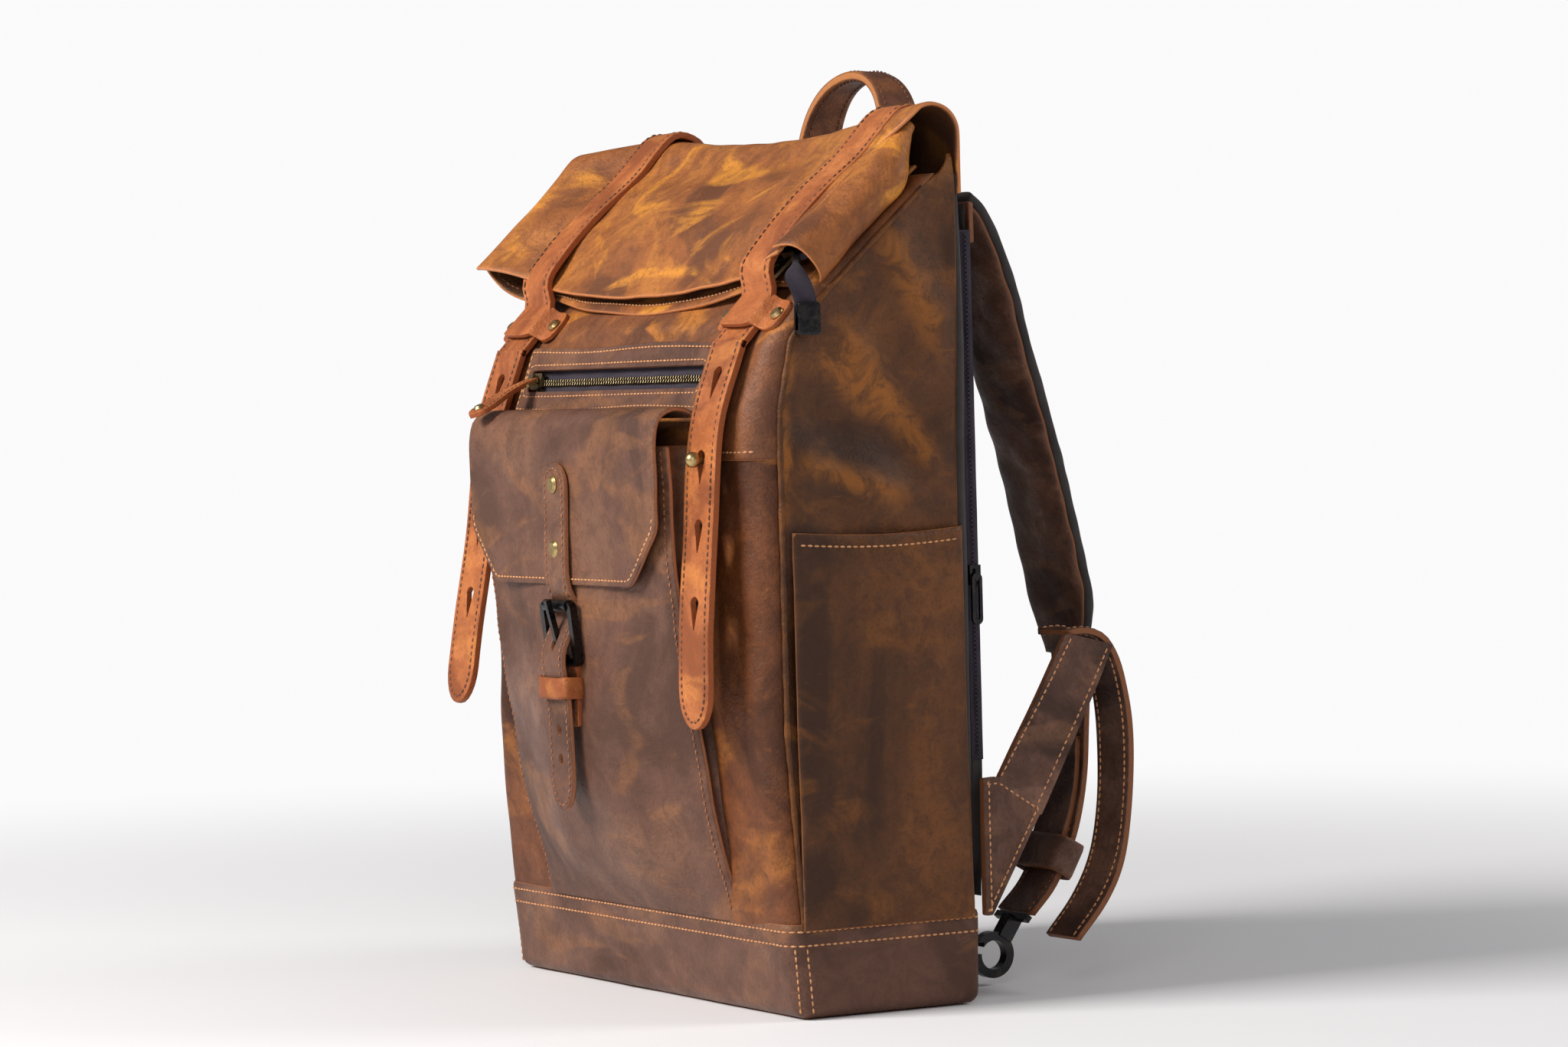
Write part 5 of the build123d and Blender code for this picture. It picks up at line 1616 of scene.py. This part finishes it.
def shoulder_pad(side, sign):
    """A shoulder strap's padded fabric and the leather stitched on its outer face."""
    path = SHOULDER_PATH
    x = sign * SHOULDER_X
    body = f"shoulder_{side}"

    def rule(u, v):
        s = path.length * v
        y, z, ny, nz = path.at(s)
        angle = 2 * pi * u
        w = half_width(v) * signed_power(np.cos(angle), 0.7)
        flat = np.stack([x + w, y, z], axis=-1)
        edge = signed_power(np.sin(angle), 0.62)
        crinkle = 1 + 0.10 * swell(flat, 26.0, 151) + 0.05 * swell(flat, 11.0, 152)
        h = 4.7 * edge * crinkle * (1 - 0.55 * smoothstep(v, 0.9, 1.0))
        return np.stack([x + w, y + ny * h, z + nz * h], axis=-1)
    points = grid(45, 130, rule)[:-1]
    n_around, n_along = points.shape[:2]
    faces = []
    for i in range(n_around):
        j = (i + 1) % n_around
        for k in range(n_along - 1):
            a, b = i * n_along + k, j * n_along + k
            faces.append((a, b, b + 1, a + 1))
    faces.append(tuple(i * n_along for i in range(n_around))[::-1])
    faces.append(tuple(i * n_along + n_along - 1 for i in range(n_around)))
    obj = mesh_from(f"shoulder_pad_{side}_fabric", points.reshape(-1, 3), faces, PAD_FABRIC)
    settle(obj, body, "pad_fabric", f"shoulder_strap_{side}")

    def face_place(s, w, h):
        y, z, ny, nz = path.at(s)
        v = s / path.length
        share = np.clip(np.abs(w) / half_width(v), 0, 1)
        flat = np.stack([x + w, y, z], axis=-1)
        slim = 1 - 0.55 * smoothstep(v, 0.9, 1.0)
        puff = 4.3 * np.clip(1 - share ** 3.2, 0, 1) ** 0.6 * slim + 0.7
        height = -(h + puff + 0.35 * swell(flat, 24.0, 153))
        return np.stack([x + w + 0 * y, y + ny * height, z + nz * height], axis=-1)

    def cover(u, v):
        s = path.length * (0.004 + 0.992 * v)
        return face_place(s, (2 * u - 1) * (half_width(v) - 0.6), 1.2)
    points = grid(24, 120, cover)
    cover_obj = shell(f"shoulder_cover_{side}_leather", points, 1.6, DARK_STRAP)
    settle(cover_obj, body, "dark_strap_leather")
    v = np.linspace(0.02, 0.98, 60)
    rows = [np.stack([path.length * v, k * (half_width(v) - 4.2)], axis=1) for k in (-1, 1)]
    sewn = stitching(f"shoulder_cover_{side}_stitching", rows, face_place, 1.3, TAN_THREAD)
    settle(sewn, body, "dark_strap_leather")


def adjuster(side, sign):
    """The strap below a shoulder pad: its run to the snap hook, its tail, its loop and two rivets."""
    x = sign * SHOULDER_X
    body = f"shoulder_{side}"
    run = [(150.4, 172), (150.3, 158), (149, 130), (146.5, 105), (142, 84), (136, 68), (126, 50), (113, 37)]
    strap(f"adjuster_strap_{side}_leather", run, 32.0, DARK_STRAP, body, "dark_strap_leather",
          (f"adjuster_strap_{side}",), x, -1, thread=TAN_THREAD, sides=(1, -1), seed=161)
    tail = [(144.6, 127), (143.4, 108), (139.2, 88), (133, 72), (126.5, 59)]
    strap(f"adjuster_tail_{side}_leather", tail, 28.0, DARK_STRAP, body, "dark_strap_leather", (), x, -1,
          thread=TAN_THREAD, sides=(-1,), seed=163)
    loop = Path([(138.4, 73), (129.0, 56.5)])

    def loop_rule(u, v):
        s = loop.length * v
        y, z, ny, nz = loop.at(s)
        angle = 2 * pi * u
        across = signed_power(np.cos(angle), 0.3) * 18.3
        deep = signed_power(np.sin(angle), 0.4) * 6.8
        return np.stack([x + across, y + ny * deep, z + nz * deep], axis=-1)
    ring = shell(f"adjuster_loop_{side}_leather", grid(61, 9, loop_rule)[:-1], 1.8, DARK_STRAP, closed=True)
    settle(ring, body, "dark_strap_leather")
    y, z, ny, nz = (float(a) for a in loop.at(loop.length / 2))
    rivets = [(x + w, y - ny * 6.9, z - nz * 6.9, -ny, -nz) for w in (-11.5, 11.5)]
    dome_rivets(f"adjuster_rivets_{side}", rivets, body, "brass", BRASS)


def dome_rivets(name, rivets, body, slot, material):
    """Low domed rivet heads, each given by its centre and its outward direction in the plane across X."""
    radius, rise = 4.3, 1.5
    rings, around = 6, 20
    right = np.array((1.0, 0, 0))
    points, faces = [], []
    for cx, cy, cz, oy, oz in rivets:
        base = len(points)
        out = np.array((0.0, oy, oz))
        up = np.array((0.0, -oz, oy))
        for ring in range(rings):
            t = ring / (rings - 1)
            r = radius * np.cos(t * pi / 2) ** 0.6 if ring else radius
            h = -0.8 if ring == 0 else 0.35 + (rise - 0.35) * sin(t * pi / 2)
            for k in range(around):
                angle = 2 * pi * k / around
                points.append(np.array((cx, cy, cz)) + out * h + r * (cos(angle) * right + sin(angle) * up))
        for ring in range(rings - 1):
            for k in range(around):
                a, b = base + ring * around + k, base + ring * around + (k + 1) % around
                faces.append((a, b, b + around, a + around))
        faces.append(tuple(base + k for k in range(around))[::-1])
    obj = mesh_from(name, points, faces, material)
    bm = bmesh.new()
    bm.from_mesh(obj.data)
    bmesh.ops.remove_doubles(bm, verts=bm.verts[:], dist=1e-6)
    bmesh.ops.recalc_face_normals(bm, faces=bm.faces[:])
    bm.to_mesh(obj.data)
    bm.free()
    settle(obj, body, slot)


def lower_strap(side, sign):
    """The lower strap: a stitched tab on the side, then a strap that rises, folds over and hangs back."""
    body = f"lower_strap_{side}"
    x = sign * 152.2

    def flat_place(s, w, h):
        return np.stack([x + sign * h + 0 * s, s, w + 0 * s], axis=-1)
    tab = rounded([(56, 44), (60, 44), (92, 97, 3), (66, 113.5, 3), (56, 113)], 1.0)
    obj = flat_piece(f"lower_tab_{side}_leather", tab, 4.4, flat_place, DARK_STRAP, cut=(4.0, 4.0), wave=0.2)
    settle(obj, body, "dark_strap_leather", f"lower_strap_{side}")
    sewn = stitching(f"lower_tab_{side}_stitching", [(inset(tab, 3.2), True)], flat_place, 2.3, PALE_THREAD)
    settle(sewn, body, "dark_strap_leather")
    run = rounded([(62.5, 108), (90.5, 92), (137.5, 176.5, 2), (109, 183.5, 2)], 1.5)
    obj = flat_piece(f"lower_strap_run_{side}_leather", run, STRAP_LEATHER, run_place(x, sign), DARK_STRAP,
                     cut=(4.0, 4.0), wave=0.2)
    settle(obj, body, "dark_strap_leather")
    edges = [np.array([(66.5, 113), (112, 181)]), np.array([(88, 98), (133.5, 175)])]
    for label, h in (("", 1.85), ("_under", -1.85)):
        sewn = stitching(f"lower_strap_run_{side}_stitching{label}", edges, run_place(x, sign), h,
                         PALE_THREAD)
        settle(sewn, body, "dark_strap_leather")
    back = [(111, 183.5), (122, 184.0), (132, 180.5), (139.5, 170), (144.5, 152), (147, 131), (145.4, 92),
            (139.5, 65), (129, 46), (112.5, 27.5)]
    strap(f"lower_strap_back_{side}_leather", back, 29.0, DARK_STRAP, body, "dark_strap_leather", (),
          sign * 137.0, 1, thread=PALE_THREAD, sides=(1, -1), seed=171)


def run_place(x, sign):
    """The upright plane of the lower strap, bent out a little towards the fold at its top."""
    def place(s, w, h):
        bend = -1.6 * smoothstep(w, 150, 184)
        return np.stack([x + sign * (h + bend) + 0 * s, s, w + 0 * s], axis=-1)
    return place


for side, sign in SIDES:
    shoulder_pad(side, sign)
    adjuster(side, sign)
    lower_strap(side, sign)


# ---------------------------------------------------------------- carried-over hardware

NODE_LOOKS = {
    "base_board": BOARD,
    "top_zip_slider": ZIP_METAL,
    "front_zip_slider": ZIP_METAL, "front_zip_pull_ring": BRASS,
    "studs_and_rivets": BRASS, "flap_rivets": BRASS,
    "buckle_frame": BLACK_METAL, "buckle_roller": BLACK_METAL, "buckle_prong": BLACK_METAL,
    "back_zip_slider": BLACK_METAL, "snap_hook_left": BLACK_METAL, "snap_hook_right": BLACK_METAL,
}
for node_name, material in NODE_LOOKS.items():
    mesh = NODES[node_name].data
    mesh.materials.clear()
    mesh.materials.append(material)


# ---------------------------------------------------------------- floor, light and camera

def floor():
    """A pale studio floor that fades into the background."""
    g = Graph("studio_floor")
    far = g.add("ShaderNodeVectorMath", {0: g.place}, operation="LENGTH").outputs["Value"]
    pale = g.add("ShaderNodeEmission", {"Color": colour(0.97, 0.96, 0.97), "Strength": 1.0})
    g.shader.inputs["Base Color"].default_value = colour(0.90, 0.895, 0.91)
    g.shader.inputs["Roughness"].default_value = 0.55
    blend = g.add("ShaderNodeMixShader", {0: g.band(far, 0.35, 1.5)})
    output = g.tree.nodes["Material Output"]
    g.tree.links.new(g.shader.outputs[0], blend.inputs[1])
    g.tree.links.new(pale.outputs[0], blend.inputs[2])
    g.tree.links.new(blend.outputs[0], output.inputs["Surface"])
    size = 9.0
    mesh = bpy.data.meshes.new("studio_floor")
    corners = [(-size, -size, 0), (size, -size, 0), (size, size, 0), (-size, size, 0)]
    mesh.from_pydata(corners, [], [(0, 1, 2, 3)])
    new_object("studio_floor", mesh, g.material)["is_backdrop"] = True


def area_light(name, place, target, width, height, power, tint=(1, 1, 1)):
    light = bpy.data.lights.new(name, "AREA")
    light.shape = "RECTANGLE"
    light.size = width
    light.size_y = height
    light.energy = power
    light.color = tint
    obj = bpy.data.objects.new(name, light)
    bpy.context.scene.collection.objects.link(obj)
    obj.location = place
    direction = Vector(target) - Vector(place)
    obj.rotation_euler = direction.to_track_quat("-Z", "Y").to_euler()


def world():
    """A bright backdrop that lights the object only softly."""
    background = bpy.data.worlds.new("studio")
    background.use_nodes = True
    tree = background.node_tree
    shade = tree.nodes["Background"]
    shade.inputs["Color"].default_value = (0.97, 0.96, 0.97, 1)
    path = tree.nodes.new("ShaderNodeLightPath")
    strength = tree.nodes.new("ShaderNodeMapRange")
    tree.links.new(path.outputs["Is Camera Ray"], strength.inputs["Value"])
    strength.inputs["To Min"].default_value = 0.20
    strength.inputs["To Max"].default_value = 1.0
    tree.links.new(strength.outputs["Result"], shade.inputs["Strength"])
    bpy.context.scene.world = background


def camera():
    heading, tilt, roll = radians(60.33), radians(-1.54), radians(-1.51)
    forward = Vector((-sin(heading) * cos(tilt), cos(heading) * cos(tilt), sin(tilt)))
    right = Vector((cos(heading), sin(heading), 0))
    up = right.cross(forward)
    turned_right = right * cos(roll) + up * sin(roll)
    turned_up = up * cos(roll) - right * sin(roll)
    data = bpy.data.cameras.new("camera")
    data.sensor_width = 36.0
    data.lens = 36.0 * 6454 / 2048
    obj = bpy.data.objects.new("camera", data)
    bpy.context.scene.collection.objects.link(obj)
    basis = Matrix((turned_right, turned_up, -forward)).transposed().to_4x4()
    basis.translation = Vector((2.2547, -1.2515, 0.3099))
    obj.matrix_world = basis
    bpy.context.scene.camera = obj


bpy.context.scene.view_settings.view_transform = "Standard"
floor()
world()
area_light("key", (-0.3, -2.0, 1.6), (0, -0.05, 0.25), 1.0, 0.9, 76, (1.0, 0.98, 0.95))
area_light("fill", (2.3, -1.5, 1.2), (0.1, 0, 0.25), 1.0, 1.0, 15, (0.98, 0.98, 1.0))
area_light("rim", (1.0, 1.7, 1.5), (0.1, 0, 0.25), 0.9, 0.8, 16, (1.0, 0.99, 0.98))
camera()

sizes = {"cad": CAD_BOX, "visual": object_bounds()}
{name: [list(corner) for corner in box] for name, box in sizes.items()}
